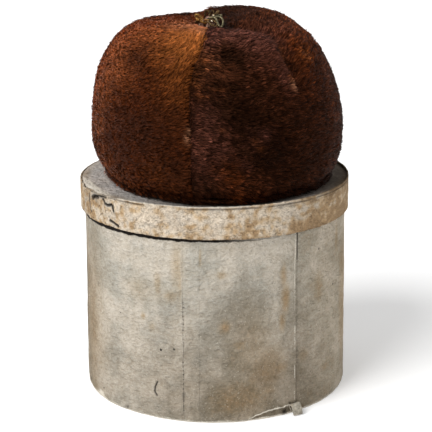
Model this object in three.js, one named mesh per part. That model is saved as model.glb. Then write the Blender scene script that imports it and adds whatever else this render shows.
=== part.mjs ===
// A puffed fur cap with a gold wire ornament, standing on its round pasteboard hat box.
// Units are millimetres and +Z is up. The origin is the middle of the box's underside.
// Azimuths are in degrees: 0 faces the front (-Y) and 90 faces +X.
import * as THREE from "three";

// ---- driving dimensions: hat box ----
const BOX_RADIUS = 128; // outer face of the box's wall
const BOX_BOARD = 1.3; // thickness of the wall's pasteboard
const BOX_LAP = 0.9; // how far the outer end of the rolled wall stands proud
const BOX_LAP_AZIMUTH = 35.4; // where the outer end of the wall lies
const BOX_LAP_SPAN = 70; // azimuth over which the wall swells up to that end
const LAP_STEP_SPAN = 0.2; // azimuth over which it steps back
const FLOOR_BOARD = 2; // thickness of the box's bottom disc
const LID_TOP = 206.3; // upper face of the lid's disc
const LID_BOARD = 2; // thickness of the lid's disc
const RIM_OUTER_RADIUS = 130.9;
const RIM_INNER_RADIUS = 129.4;
const RIM_TOP = 208.8;
const RIM_BOTTOM = 176.2;
const RIM_DROOP = 1.1; // how far the worn rim's edges wander up and down
const RIM_DROOP_AZIMUTH = 75; // where the rim hangs lowest
const BOARD_SIDES = 96; // flats round each board

// ---- driving dimensions: cap ----
const CAP_CENTRE = { x: 3, y: -3 }; // the cap stands a little off the box's middle
const CROWN_SHIFT = { x: -8, y: -24 }; // how far the crown's middle leans from the cap's axis
const CROWN_SWIRL = 9; // degrees by which the joins turn on their way in to the crown's middle
const LEAN_FULL_RADIUS = 8; // distance from the crown's middle within which the lean is full
const LEAN_RADIUS = 100; // distance from the crown's middle where the lean ends
const CREST_RADIUS = 50; // distance of the crown's lobes from its middle
const CREST_HALF_WIDTH = 26;
const CREST_HEIGHTS = { from: 60, full: 135 }; // heights above the lid between which lobes form
const SHOULDER_SHIFT = -3.2; // sideways lean of the whole crown
const SHOULDER_HEIGHTS = { from: 60, full: 115 }; // heights above the lid between which it grows
const HEM_HEIGHT = 8; // height of the narrow fur band round the lower edge
const HEM_INNER_RADIUS = 94;
const HEM_OUTER_RADIUS = 112;
const HEM_ROUNDING = 3.4;
const HEM_SIDES = 60;
const FRONT_SEAM = -12.5; // azimuths of the two joins between the pelts
const BACK_SEAM = 172;
const SEAM_DEPTH = 2.2; // how far the fur dips into a join
const SEAM_HALF_WIDTH = 4.5;
const BEND_REACH = 32; // degrees to each side over which the front join's bend dies away
const FOLD_DEPTH = 3.2; // the soft fold in the right pelt
const FOLD_HALF_WIDTH = 6.5;
const MOUTH_RADIUS = 109.5; // outer face of the fur at the pelts' lower edge
const GAP = 0.3; // clearance between neighbouring pieces
const PELT_EDGE = HEM_HEIGHT + GAP; // height of the pelts' lower edge
const ARC_STEPS = 2; // half the facets in each quarter turn of a small rounding

// Outer face of the fur from the lower edge to the crown's middle, heights above the lid's disc.
const FUR_OUTSIDE = [
  { radius: MOUTH_RADIUS, height: PELT_EDGE },
  { radius: 115.2, height: 12.5 },
  { radius: 118.8, height: 24 },
  { radius: 121.4, height: 45 },
  { radius: 120.2, height: 66 },
  { radius: 117, height: 86 },
  { radius: 111, height: 107 },
  { radius: 102, height: 125 },
  { radius: 90.5, height: 140 },
  { radius: 75, height: 149.7 },
  { radius: 56, height: 154 },
  { radius: 37, height: 155 },
  { radius: 22, height: 153 },
  { radius: 12, height: 148.5 },
  { radius: 5, height: 146 },
];

// Inner face of the padded wall, from the crown's middle down to the mouth.
const FUR_INSIDE = [
  { radius: 5, height: 129 },
  { radius: 40, height: 127 },
  { radius: 68, height: 117 },
  { radius: 86, height: 94 },
  { radius: 94, height: 62 },
  { radius: 95.5, height: 30 },
  { radius: 95.5, height: PELT_EDGE },
];

// Rise of the crown at its lobes: low over the front, one puffed lobe at the back.
const CROWN_LOBES = [
  { azimuth: -170, rise: -2.5 },
  { azimuth: -100, rise: 0 },
  { azimuth: -15, rise: -4 },
  { azimuth: 30, rise: -5.5 },
  { azimuth: 60, rise: 1 },
  { azimuth: 95, rise: 7 },
  { azimuth: 150, rise: 6.4 },
  { azimuth: 172, rise: 5 },
  { azimuth: 190, rise: -2.5 },
];

// Line of the fold's bottom: azimuth at a distance along the surface from the crown's middle.
const FOLD_LINE = [
  { along: 12, azimuth: 26 },
  { along: 30, azimuth: 30 },
  { along: 45, azimuth: 40 },
  { along: 67, azimuth: 43 },
  { along: 107, azimuth: 41 },
  { along: 150, azimuth: 43 },
];
const FOLD_STARTS = { from: 8, full: 22 }; // distances along the surface where the fold sets in
const FOLD_FADES = { from: 112, gone: 145 }; // and where it dies out

// Columns of facets along each pelt, in degrees past the join where it starts, for a pelt that
// goes half way round; the pelts' real spans stretch or squeeze them a little.
const PELT_COLUMNS = {
  left: [
    { to: 3, steps: 3 },
    { to: 12, steps: 2 },
    { to: 168, steps: 22 },
    { to: 177, steps: 2 },
    { to: 180, steps: 3 },
  ],
  right: [
    { to: 3, steps: 3 },
    { to: 30, steps: 4 },
    { to: 66, steps: 11 },
    { to: 168, steps: 14 },
    { to: 177, steps: 2 },
    { to: 180, steps: 3 },
  ],
};
const OUTSIDE_ROWS = 19;
const INSIDE_ROWS = 7;

// ---- driving dimensions: gold ornament ----
const ORNAMENT_FOOT = 146.8; // height of the core's foot above the lid, in the crown's dip
const CORE_RADIUS = 4.2;
const CORE_HEIGHT = 11;
const CORE_DOME = 5;
const CORE_SIDES = 20;
const SHANK_LENGTH = 14; // the core goes on down through the crown's middle

// How far the front join bends to the right on its way over the shoulder, in degrees.
const SEAM_BEND = [
  { radius: 30, bend: 0 },
  { radius: 60, bend: 3 },
  { radius: 80, bend: 6.5 },
  { radius: 94, bend: 4.5 },
  { radius: 106, bend: 1 },
  { radius: 112, bend: 0 },
];

// Loops of gold wire. Azimuth: the side of the core where the loop is sewn on. Attach: the height of
// that point above the core's foot. Reach and rise: how far out and up the loop's tip lies from it.
// Cord: the wire cord's radius. Turn: degrees by which the loop is turned about its own length.
const LOOPS = [
  { name: "left", azimuth: -102, attach: 6, reach: 10, rise: 4, halfWidth: 3.4, cord: 1.6, turn: 60 },
  { name: "right", azimuth: 16, attach: 9, reach: 26, rise: -2.2, halfWidth: 3.8, cord: 1.6, turn: 0 },
  { name: "back_left", azimuth: 186, attach: 7.2, reach: 5.2, rise: 7.5, halfWidth: 2.4, cord: 1.3, turn: 0 },
  { name: "back_right", azimuth: 112, attach: 8.7, reach: 6, rise: 6, halfWidth: 2.4, cord: 1.3, turn: 0 },
  { name: "front", azimuth: -46, attach: 5.6, reach: 6.4, rise: 2.2, halfWidth: 3.2, cord: 1.3, turn: -12 },
];
// One side of a loop: share of the reach, and of the half width, from its tip back to its root.
const LOOP_SIDE = [
  { along: 0.75, width: 1 },
  { along: 0.35, width: 0.9 },
];
const LOOP_SEAT = 0.7; // distance from the core to the middle of a loop's sewn ends
const LOOP_SIDES = 8;
const LOOP_STEPS = 18;

const radians = THREE.MathUtils.degToRad;
const smoothstep = THREE.MathUtils.smoothstep;

// A point at a radius and an azimuth, seen from above.
function around(radius, azimuth) {
  const angle = radians(azimuth);
  return new THREE.Vector2(radius * Math.sin(angle), -radius * Math.cos(angle));
}

// Bell-shaped weight, 1 at the middle and near 0 past twice the half width.
function bell(distance, halfWidth) {
  return Math.exp(-((distance / halfWidth) ** 2));
}

function wrapDegrees(azimuth) {
  return THREE.MathUtils.euclideanModulo(azimuth + 180, 360) - 180;
}

// Value of one column of a table at a key, between the rows whose keys lie on either side of it.
function tableValue(table, keyColumn, valueColumn, key) {
  const next = table.findIndex((row) => row[keyColumn] >= key);
  if (next === 0) return table[0][valueColumn];
  if (next < 0) return table[table.length - 1][valueColumn];
  const before = table[next - 1];
  const after = table[next];
  const share = smoothstep(key, before[keyColumn], after[keyColumn]);
  return THREE.MathUtils.lerp(before[valueColumn], after[valueColumn], share);
}

function material(color, roughness, metalness = 0) {
  return new THREE.MeshStandardMaterial({ color, roughness, metalness });
}

const fur = (color) => material(color, 0.75);
const pasteboard = (color) => material(color, 0.95);
const goldWire = (color) => material(color, 0.35, 1);

function named(name, geometry, surface) {
  const mesh = new THREE.Mesh(geometry, surface);
  mesh.name = name;
  return mesh;
}

// A closed solid swept through rings of points, each ring a closed loop of Vector3. A solid that
// closes on itself joins its last ring to its first; otherwise endTriangles cover both ends.
function sweep(rings, closesOnItself, endTriangles = []) {
  const perRing = rings[0].length;
  const positions = rings.flat().flatMap((point) => point.toArray());
  const faces = [];
  const spans = closesOnItself ? rings.length : rings.length - 1;
  for (let i = 0; i < spans; i += 1) {
    const here = i * perRing;
    const there = ((i + 1) % rings.length) * perRing;
    for (let j = 0; j < perRing; j += 1) {
      const next = (j + 1) % perRing;
      faces.push(here + j, here + next, there + next);
      faces.push(here + j, there + next, there + j);
    }
  }
  const lastRing = (rings.length - 1) * perRing;
  for (const [a, b, c] of endTriangles) {
    faces.push(a, c, b);
    faces.push(lastRing + a, lastRing + b, lastRing + c);
  }
  const geometry = new THREE.BufferGeometry();
  geometry.setAttribute("position", new THREE.Float32BufferAttribute(positions, 3));
  geometry.setIndex(faces);
  return geometry;
}

// ---- hat box ----
// A round board wall, its outline given by an outer and an inner radius at each azimuth.
function wallOutline(outerRadius, innerRadius) {
  const shape = new THREE.Shape();
  const hole = new THREE.Path();
  for (let i = 0; i < BOARD_SIDES; i += 1) {
    const azimuth = BOX_LAP_AZIMUTH + (360 * i) / BOARD_SIDES;
    const outer = around(outerRadius(azimuth), azimuth);
    const inner = around(innerRadius, azimuth);
    if (i === 0) {
      shape.moveTo(outer.x, outer.y);
      hole.moveTo(inner.x, inner.y);
    } else {
      shape.lineTo(outer.x, outer.y);
      hole.lineTo(inner.x, inner.y);
    }
  }
  return { shape, hole };
}

// The wall is a rolled board: it swells towards its outer end and steps back there.
function boxWall() {
  const plainRadius = BOX_RADIUS - BOX_LAP;
  const swollen = (azimuth) => {
    const before = THREE.MathUtils.euclideanModulo(BOX_LAP_AZIMUTH - azimuth, 360);
    return plainRadius + BOX_LAP * Math.max(0, 1 - before / BOX_LAP_SPAN);
  };
  const { shape, hole } = wallOutline(swollen, plainRadius - BOX_BOARD);
  const stepFoot = around(plainRadius, BOX_LAP_AZIMUTH + LAP_STEP_SPAN);
  const afterStep = shape.curves[0];
  shape.curves.splice(0, 1, new THREE.LineCurve(afterStep.v1, stepFoot),
    new THREE.LineCurve(stepFoot, afterStep.v2));
  shape.holes.push(hole);
  const depth = LID_TOP - LID_BOARD - GAP;
  return new THREE.ExtrudeGeometry(shape, { depth, bevelEnabled: false });
}

// A flat round board lying with its underside at a height.
function disc(name, radius, thickness, bottom, surface) {
  const geometry = new THREE.CylinderGeometry(radius, radius, thickness, BOARD_SIDES);
  const mesh = named(name, geometry, surface);
  mesh.rotation.x = Math.PI / 2;
  mesh.position.z = bottom + thickness / 2;
  return mesh;
}

// The lid's slip-over band, whose worn edges wander a little.
function lidRim() {
  const rings = [];
  for (let i = 0; i < BOARD_SIDES; i += 1) {
    const azimuth = (360 * i) / BOARD_SIDES;
    const droop = RIM_DROOP * (Math.cos(radians(azimuth - RIM_DROOP_AZIMUTH)) - 1);
    const bottom = RIM_BOTTOM - droop;
    const inner = around(RIM_INNER_RADIUS, azimuth);
    const outer = around(RIM_OUTER_RADIUS, azimuth);
    rings.push([
      new THREE.Vector3(inner.x, inner.y, bottom),
      new THREE.Vector3(inner.x, inner.y, RIM_TOP),
      new THREE.Vector3(outer.x, outer.y, RIM_TOP),
      new THREE.Vector3(outer.x, outer.y, bottom),
    ]);
  }
  return sweep(rings, true);
}

// ---- fur cap, in a frame of its own: origin on the lid, in the middle of the cap's mouth ----
// Points of a profile at equal steps along it, each with its distance from the crown's middle.
function profileRows(table, rows) {
  const curve = new THREE.SplineCurve(table.map((row) => new THREE.Vector2(row.radius, row.height)));
  const length = curve.getLength();
  const crownFirst = table[0].radius < table[table.length - 1].radius;
  return curve.getSpacedPoints(rows).map((point, i) => ({
    radius: point.x,
    height: point.y,
    along: length * (crownFirst ? i / rows : 1 - i / rows),
  }));
}

// How far the outer face is pressed in at an azimuth, by the joins and by the fold.
function pressedIn({ radius, along }, azimuth) {
  let depth = 0;
  for (const seam of [FRONT_SEAM, BACK_SEAM]) {
    const away = radians(wrapDegrees(azimuth - seam)) * radius;
    depth += SEAM_DEPTH * bell(away, SEAM_HALF_WIDTH);
  }
  const foldAzimuth = tableValue(FOLD_LINE, "along", "azimuth", along);
  const foldAway = radians(wrapDegrees(azimuth - foldAzimuth)) * radius;
  const foldStrength = smoothstep(along, FOLD_STARTS.from, FOLD_STARTS.full)
    * (1 - smoothstep(along, FOLD_FADES.from, FOLD_FADES.gone));
  return depth + FOLD_DEPTH * foldStrength * bell(foldAway, FOLD_HALF_WIDTH);
}

// How far the cap leans towards its crown's middle, from 0 to 1, at a distance from that middle.
function lean(radius) {
  return 1 - smoothstep(radius, LEAN_FULL_RADIUS, LEAN_RADIUS);
}

// Rise of the crown at a place on it, from the table of its lobes.
function crownLobe({ radius, height }, azimuth) {
  const wrapped = wrapDegrees(azimuth);
  const turned = wrapped < CROWN_LOBES[0].azimuth ? wrapped + 360 : wrapped;
  const rise = tableValue(CROWN_LOBES, "azimuth", "rise", turned);
  const crest = bell(radius - CREST_RADIUS, CREST_HALF_WIDTH);
  return rise * crest * smoothstep(height, CREST_HEIGHTS.from, CREST_HEIGHTS.full);
}

// A point of the cap on its inner or outer face, at a place of that face's profile and an azimuth.
function furPoint(place, azimuth, isOutside) {
  const depth = isOutside ? pressedIn(place, azimuth) : 0;
  const lobe = isOutside ? crownLobe(place, azimuth) : 0;
  const steepness = smoothstep(place.radius, CREST_RADIUS, MOUTH_RADIUS);
  const shift = lean(place.radius);
  const bend = tableValue(SEAM_BEND, "radius", "bend", place.radius)
    * bell(wrapDegrees(azimuth - FRONT_SEAM), BEND_REACH);
  const turned = azimuth + CROWN_SWIRL * shift + bend;
  const flat = around(place.radius - depth * steepness, turned);
  const height = place.height + lobe - depth * (1 - steepness);
  const shoulder = smoothstep(place.height, SHOULDER_HEIGHTS.from, SHOULDER_HEIGHTS.full);
  const x = flat.x + SHOULDER_SHIFT * shoulder + (CROWN_SHIFT.x - SHOULDER_SHIFT) * shift;
  const y = flat.y + CROWN_SHIFT.y * shift;
  return new THREE.Vector3(x, y, height);
}

function columnAngles(columns) {
  const angles = [0];
  let from = 0;
  for (const { to, steps } of columns) {
    for (let i = 1; i <= steps; i += 1) angles.push(from + ((to - from) * i) / steps);
    from = to;
  }
  return angles;
}

// Triangles over the end of a wall whose ring holds its inner points, then its outer ones backwards.
function wallEnd(innerCount, outerCount) {
  const triangles = [];
  const perInnerStep = (outerCount - 1) / (innerCount - 1);
  let outer = innerCount + outerCount - 1;
  for (let inner = 0; inner < innerCount; inner += 1) {
    const reach = Math.min(outerCount - 1, Math.round((inner + 0.5) * perInnerStep));
    const target = innerCount + outerCount - 1 - reach;
    while (outer > target) {
      triangles.push([inner, outer - 1, outer]);
      outer -= 1;
    }
    if (inner < innerCount - 1) triangles.push([inner, inner + 1, outer]);
  }
  return triangles;
}

// One pelt: about half of the padded cap, from one join to the next.
function pelt(startAzimuth, endAzimuth, columns) {
  const span = endAzimuth - startAzimuth;
  const outside = profileRows(FUR_OUTSIDE, OUTSIDE_ROWS).reverse();
  const inside = profileRows(FUR_INSIDE, INSIDE_ROWS).reverse();
  const section = [
    ...inside.map((place) => ({ place, isOutside: false })),
    ...outside.map((place) => ({ place, isOutside: true })),
  ];
  const rings = columnAngles(columns).map((angle) =>
    section.map(({ place, isOutside }) => {
      const clearance = THREE.MathUtils.radToDeg(Math.asin(GAP / 2 / place.radius));
      const share = angle / 180;
      const azimuth = startAzimuth + span * share + clearance * (1 - 2 * share);
      return furPoint(place, azimuth, isOutside);
    }),
  );
  return sweep(rings, false, wallEnd(inside.length, outside.length));
}

// The narrow band of fur round the lower edge, with a rounded outer edge.
function hemBand() {
  const outline = new THREE.Path();
  const bottom = GAP;
  const top = HEM_HEIGHT;
  const roundingAt = HEM_OUTER_RADIUS - HEM_ROUNDING;
  outline.moveTo(HEM_INNER_RADIUS, bottom);
  outline.lineTo(roundingAt, bottom);
  outline.absarc(roundingAt, bottom + HEM_ROUNDING, HEM_ROUNDING, -Math.PI / 2, 0);
  outline.absarc(roundingAt, top - HEM_ROUNDING, HEM_ROUNDING, 0, Math.PI / 2);
  outline.lineTo(HEM_INNER_RADIUS, top);
  outline.closePath();
  return new THREE.LatheGeometry(outline.getPoints(ARC_STEPS), HEM_SIDES);
}

// ---- gold ornament, in a frame of its own: origin at the foot of its core ----
// The core: a domed post that starts below the crown's middle and stands up in the dip.
function ornamentCore() {
  const profile = new THREE.Path();
  profile.moveTo(0, -SHANK_LENGTH);
  profile.lineTo(CORE_RADIUS, -SHANK_LENGTH);
  profile.lineTo(CORE_RADIUS, CORE_HEIGHT - CORE_DOME);
  profile.absellipse(0, CORE_HEIGHT - CORE_DOME, CORE_RADIUS, CORE_DOME, 0, Math.PI / 2, false, 0);
  const points = profile.getPoints(ARC_STEPS);
  points[points.length - 1].x = 0;
  return new THREE.LatheGeometry(points, CORE_SIDES);
}

// Radius of the core at a height above its foot.
function coreRadius(height) {
  const intoDome = Math.max(0, height - (CORE_HEIGHT - CORE_DOME)) / CORE_DOME;
  return CORE_RADIUS * Math.sqrt(1 - intoDome ** 2);
}

// The route of one loop: out from the core, round its tip and back.
function loopRoute({ azimuth, attach, reach, rise, halfWidth, cord, turn }) {
  const flat = around(1, azimuth);
  const outward = new THREE.Vector3(flat.x, flat.y, 0);
  const up = new THREE.Vector3(0, 0, 1);
  const level = new THREE.Vector3().crossVectors(up, outward);
  const across = level.multiplyScalar(Math.cos(radians(turn))).addScaledVector(up, Math.sin(radians(turn)));
  const root = new THREE.Vector3(0, 0, attach).addScaledVector(outward, coreRadius(attach) + LOOP_SEAT);
  const at = (along, sideways) =>
    root.clone()
      .addScaledVector(outward, along * reach)
      .addScaledVector(up, along * rise)
      .addScaledVector(across, sideways);
  const rootHalf = cord + GAP;
  const side = (sign) => LOOP_SIDE.map((row) => at(row.along, sign * halfWidth * row.width));
  return new THREE.CatmullRomCurve3([
    at(0, -rootHalf),
    ...side(-1).reverse(),
    at(1, 0),
    ...side(1),
    at(0, rootHalf),
  ]);
}

function wireLoop(loop) {
  const section = new THREE.Shape();
  for (let i = 0; i < LOOP_SIDES; i += 1) {
    const angle = (2 * Math.PI * i) / LOOP_SIDES;
    const x = loop.cord * Math.cos(angle);
    const y = loop.cord * Math.sin(angle);
    if (i === 0) section.moveTo(x, y);
    else section.lineTo(x, y);
  }
  return new THREE.ExtrudeGeometry(section, {
    steps: LOOP_STEPS,
    extrudePath: loopRoute(loop),
    bevelEnabled: false,
  });
}

// ---- the object ----
const floorRadius = BOX_RADIUS - BOX_LAP - BOX_BOARD - GAP;
const panelRadius = RIM_INNER_RADIUS - GAP;
const hatBox = new THREE.Group();
hatBox.add(named("box_wall", boxWall(), pasteboard(0xc3c2b6)));
hatBox.add(disc("box_floor", floorRadius, FLOOR_BOARD, 0, pasteboard(0xb4b1a2)));
hatBox.add(disc("lid_panel", panelRadius, LID_BOARD, LID_TOP - LID_BOARD, pasteboard(0x9d9a9c)));
hatBox.add(named("lid_rim", lidRim(), pasteboard(0xcdbda2)));

const hem = named("hem_band", hemBand(), fur(0x3a1c10));
hem.rotation.x = Math.PI / 2;
const core = named("ornament_core", ornamentCore(), goldWire(0xb08a48));
core.rotation.x = Math.PI / 2;

const ornament = new THREE.Group();
ornament.position.set(CROWN_SHIFT.x, CROWN_SHIFT.y, ORNAMENT_FOOT);
ornament.add(core);
for (const loop of LOOPS) {
  ornament.add(named(`loop_${loop.name}`, wireLoop(loop), goldWire(0xc9a55a)));
}

const furCap = new THREE.Group();
furCap.position.set(CAP_CENTRE.x, CAP_CENTRE.y, LID_TOP);
furCap.add(named("pelt_right", pelt(FRONT_SEAM, BACK_SEAM, PELT_COLUMNS.right), fur(0x4a1d10)));
furCap.add(named("pelt_left", pelt(BACK_SEAM, FRONT_SEAM + 360, PELT_COLUMNS.left), fur(0x6b3416)));
furCap.add(hem, ornament);

const capOnHatBox = new THREE.Group();
capOnHatBox.add(hatBox, furCap);

export default capOnHatBox;
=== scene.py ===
import math

import bmesh
import bpy
import numpy as np
from bpy.props import FloatProperty, FloatVectorProperty, IntProperty, PointerProperty
from mathutils import Matrix, Vector, noise
from mathutils.kdtree import KDTree


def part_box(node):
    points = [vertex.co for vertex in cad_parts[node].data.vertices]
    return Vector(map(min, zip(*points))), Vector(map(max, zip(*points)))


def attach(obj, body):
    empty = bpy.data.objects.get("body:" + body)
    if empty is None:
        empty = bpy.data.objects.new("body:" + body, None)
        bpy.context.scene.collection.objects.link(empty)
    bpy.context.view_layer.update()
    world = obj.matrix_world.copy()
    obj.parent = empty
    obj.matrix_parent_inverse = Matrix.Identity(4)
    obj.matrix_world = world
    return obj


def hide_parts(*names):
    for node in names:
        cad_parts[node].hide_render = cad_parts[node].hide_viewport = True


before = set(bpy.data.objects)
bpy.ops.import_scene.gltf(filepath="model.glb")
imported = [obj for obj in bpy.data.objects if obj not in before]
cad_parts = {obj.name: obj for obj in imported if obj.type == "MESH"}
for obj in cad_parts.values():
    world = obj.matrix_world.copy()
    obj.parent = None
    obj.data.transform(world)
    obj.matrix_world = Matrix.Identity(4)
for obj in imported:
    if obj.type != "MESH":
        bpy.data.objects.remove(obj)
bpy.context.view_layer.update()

bl_info = {
    "name": "Fur cap on hat box",
    "version": (1, 0, 0),
    "blender": (4, 5, 0),
    "location": "3D Viewport > Sidebar > Fur Cap",
    "description": "A puffed fur cap with a gold wire ornament, on its worn round pasteboard hat box",
    "category": "Add Mesh",
}

# ---- places taken from the parts of model.glb, in metres ----
MM = 0.001
WALL_LOW, WALL_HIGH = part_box("box_wall")
LID_LOW, LID_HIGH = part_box("lid_panel")
BAND_LOW, BAND_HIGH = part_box("lid_rim")
HEM_LOW, HEM_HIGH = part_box("hem_band")
CORE_LOW, CORE_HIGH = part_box("ornament_core")
WALL_RADIUS = -WALL_LOW.x
WALL_BOARD = 1.3 * MM
LID_RADIUS = LID_HIGH.x
LID_TOP = LID_HIGH.z
BAND_OUTER = BAND_HIGH.x
BAND_BOARD = 1.5 * MM
CAP_AXIS = (HEM_LOW + HEM_HIGH) / 2
CAP_MIDDLE = Vector((CAP_AXIS.x, CAP_AXIS.y, LID_TOP + 55 * MM))
CORE_AXIS = (CORE_LOW + CORE_HIGH) / 2
CORE_FOOT = CORE_HIGH.z - 11 * MM  # where the core comes out of the fur
FRONT_SEAM = -12.5  # azimuths of the two joins between the pelts, in degrees
BACK_SEAM = 172.0
LAP_AZIMUTH = 35.4  # where the outer end of the rolled wall lies
FULL_TURN = 360.0


# ---- what a user can change ----
def colour(name, description, value):
    return FloatVectorProperty(name=name, description=description, default=value, size=3,
                               subtype="COLOR", min=0.0, max=1.0)


def length(name, description, value):
    return FloatProperty(name=name, description=description, default=value * MM, min=0.0,
                         subtype="DISTANCE", unit="LENGTH", precision=5)


class FurSettings(bpy.types.PropertyGroup):
    """The fur of the cap"""
    hair_length: length("Hair length", "Length of one lock of hair", 5.5)
    hair_width: length("Hair width", "Width of one lock at its middle", 0.48)
    hair_lift: length("Hair lift", "Depth of the fur over its skin", 2.1)
    hairs: IntProperty(name="Locks per cm2", description="Locks of hair on each square centimetre",
                       default=150, min=1)
    tuft_spacing: length("Tuft spacing", "Distance between neighbouring tufts", 2.6)
    # Golden is used for the patches by the front join, which are partly sun-bleached hair and partly a
    # painted highlight.
    golden: colour("Golden", "Sun-bleached hair beside the front join", (0.32, 0.100, 0.022))
    chestnut: colour("Chestnut", "Most of the left pelt", (0.095, 0.021, 0.0045))
    auburn: colour("Auburn", "Most of the right pelt", (0.047, 0.0138, 0.0062))
    plum: colour("Plum", "The worn front of the right pelt", (0.108, 0.037, 0.026))
    sable: colour("Sable", "The darkest hair", (0.008, 0.0026, 0.0014))
    # Rose, and once the worn spot's colour, also paint sheen and highlights, as the tables of patches and
    # spots say.
    rose: colour("Rose", "Hair that has faded to pink", (0.260, 0.074, 0.023))
    bald: colour("Worn spot", "Where the hair has worn down to the hide", (0.42, 0.19, 0.10))


class BoxSettings(bpy.types.PropertyGroup):
    """The pasteboard hat box"""
    dents: length("Dents", "How far the old board wanders in and out", 0.7)
    paper: colour("Paper", "Covering paper of the wall", (0.600, 0.550, 0.478))
    blue_paper: colour("Faded blue", "Greenish blue left in the covering paper", (0.425, 0.418, 0.378))
    stain: colour("Stain", "Brown damp stains", (0.33, 0.205, 0.105))
    dirt: colour("Dirt", "Dark specks and grime", (0.09, 0.06, 0.04))
    worn: colour("Worn edge", "Bare fibres where the paper has rubbed off", (0.72, 0.66, 0.56))
    band_paper: colour("Band paper", "Buff paper of the lid's band", (0.77, 0.66, 0.53))
    lid_paper: colour("Lid paper", "Grey paper on top of the lid", (0.52, 0.475, 0.445))


class OrnamentSettings(bpy.types.PropertyGroup):
    """The gold wire ornament"""
    wire: length("Wire", "Thickness of the coiled wire", 0.42)
    warm_gold: colour("Warm gold", "Bright wire", (0.80, 0.46, 0.13))
    pale_gold: colour("Pale gold", "Tarnished, greenish wire", (0.27, 0.225, 0.125))
    thread: colour("Thread", "Faded silk thread of the core", (0.42, 0.22, 0.16))


class StageSettings(bpy.types.PropertyGroup):
    """Floor, light and camera"""
    floor: colour("Floor", "Pale floor", (0.93, 0.93, 0.93))
    key: FloatProperty(name="Key light", description="Strength of the large soft light at the left",
                       default=2.7, min=0.0)
    fill: FloatProperty(name="Fill light", description="Brightness of the white studio round the object",
                        default=0.5, min=0.0)


# ---- small helpers ----
def table(columns, rows):
    """Rows of values under named columns."""
    return [dict(zip(columns.split(), row)) for row in rows]


def ease(value, start, end):
    """A smooth run from 0 at start to 1 at end, whichever is the greater."""
    t = np.clip((np.asarray(value, float) - start) / (end - start), 0.0, 1.0)
    return t * t * (3.0 - 2.0 * t)


def bell(distance, half_width):
    return np.exp(-((np.asarray(distance, float) / half_width) ** 2))


def wrapped(azimuth):
    """An azimuth in degrees, brought between -180 and 180."""
    return (np.asarray(azimuth, float) + 180.0) % FULL_TURN - 180.0


def noise_at(points, size, seed, squeeze=1.0):
    """Smooth noise between -1 and 1, its features size mm across and taller where squeeze is under 1."""
    shift = Vector((seed * 17.31, seed * -5.17, seed * 9.73))
    squeezed = (points * np.array([1, 1, squeeze])).tolist()
    return np.array([noise.noise(Vector(p) / (size * MM) + shift) for p in squeezed])


def read(items, name, kind=float):
    """A property of three numbers of many mesh items, as an array."""
    found = np.empty(len(items) * 3, kind)
    items.foreach_get(name, found)
    return found.reshape(-1, 3)


def unit(vectors):
    return vectors / (np.linalg.norm(vectors, axis=1, keepdims=True) + 1e-12)


def azimuths(points, axis=(0.0, 0.0)):
    return np.degrees(np.arctan2(points[:, 0] - axis[0], axis[1] - points[:, 1]))


def azimuth_of(place):
    return math.degrees(math.atan2(place.x, -place.y))


def around(bm):
    """The places in a bmesh, with their azimuths, heights in mm, radii and level ways outward."""
    places = np.array([vert.co[:] for vert in bm.verts])
    radius = np.hypot(places[:, 0], places[:, 1])
    out = np.column_stack([places[:, :2] / np.maximum(radius, 1e-9)[:, None], np.zeros(len(places))])
    return places, azimuths(places), places[:, 2] / MM, radius, out


def raised(height):
    """Shifts straight up."""
    return np.column_stack([np.zeros((len(height), 2)), height])


def far_from(points, line):
    """How far each point lies from a line of straight runs."""
    nearest = np.full(len(points), np.inf)
    for start, end in zip(line, line[1:]):
        run = end - start
        share = np.clip((points - start) @ run / (run @ run), 0, 1)
        nearest = np.minimum(nearest, np.linalg.norm(points - start - share[:, None] * run, axis=1))
    return nearest


def set_attribute(mesh, name, values, kind="FLOAT"):
    """Writes one value or colour for each vertex."""
    layer = mesh.attributes.new(name, kind, "POINT")
    if kind == "FLOAT_COLOR":
        values = np.hstack([values, np.ones((len(values), 1))])
    layer.data.foreach_set("color" if kind == "FLOAT_COLOR" else "value", values.astype(np.float32).ravel())


def moved(bm, shift):
    """Moves every vertex of a bmesh by a row of an array of shifts."""
    for vert, by in zip(bm.verts, shift):
        vert.co += Vector(by)


def fine_outline(corners, step):
    """The corners of an outline, joined by straight runs of short steps."""
    points = []
    for (r0, z0), (r1, z1) in zip(corners, corners[1:] + corners[:1]):
        count = max(1, round(math.hypot(r1 - r0, z1 - z0) / step))
        points += [(r0 + (r1 - r0) * i / count, z0 + (z1 - z0) * i / count) for i in range(count)]
    return points


def spun(outline, steps, closes=True):
    """A bmesh of revolution: an outline of radii and heights spun once round the box's axis."""
    bm = bmesh.new()
    verts = [bm.verts.new((0.0, -radius, height)) for radius, height in outline]
    ends = verts[1:] + verts[:1] if closes else verts[1:]
    edges = [bm.edges.new(pair) for pair in zip(verts, ends)]
    bmesh.ops.spin(bm, geom=verts + edges, axis=(0, 0, 1), cent=(0, 0, 0), angle=math.tau,
                   steps=steps, use_merge=True)
    bmesh.ops.remove_doubles(bm, verts=bm.verts, dist=0.001 * MM)
    bmesh.ops.recalc_face_normals(bm, faces=bm.faces)
    return bm


def disc(radius, low, high, step, steps):
    """A flat round panel with its middle on the box's axis."""
    outline = fine_outline([(0, low), (radius, low), (radius, high), (0, high)], step)
    return spun([(r, z) for r, z in outline if r > 0 or z in (low, high)], steps, closes=False)


def turned_out(bm):
    """Turns the faces of a standing sheet away from the box's axis."""
    bmesh.ops.recalc_face_normals(bm, faces=bm.faces)
    if sum(face.normal.dot(face.calc_center_median() * Vector((1, 1, 0))) for face in bm.faces) < 0:
        bmesh.ops.reverse_faces(bm, faces=bm.faces)
    return bm


def mesh_of(name, bm):
    mesh = bpy.data.meshes.new(name)
    bm.to_mesh(mesh)
    bm.free()
    return mesh


def placed(name, data):
    made = bpy.data.objects.new(name, data)
    bpy.context.scene.collection.objects.link(made)
    return made


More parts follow.
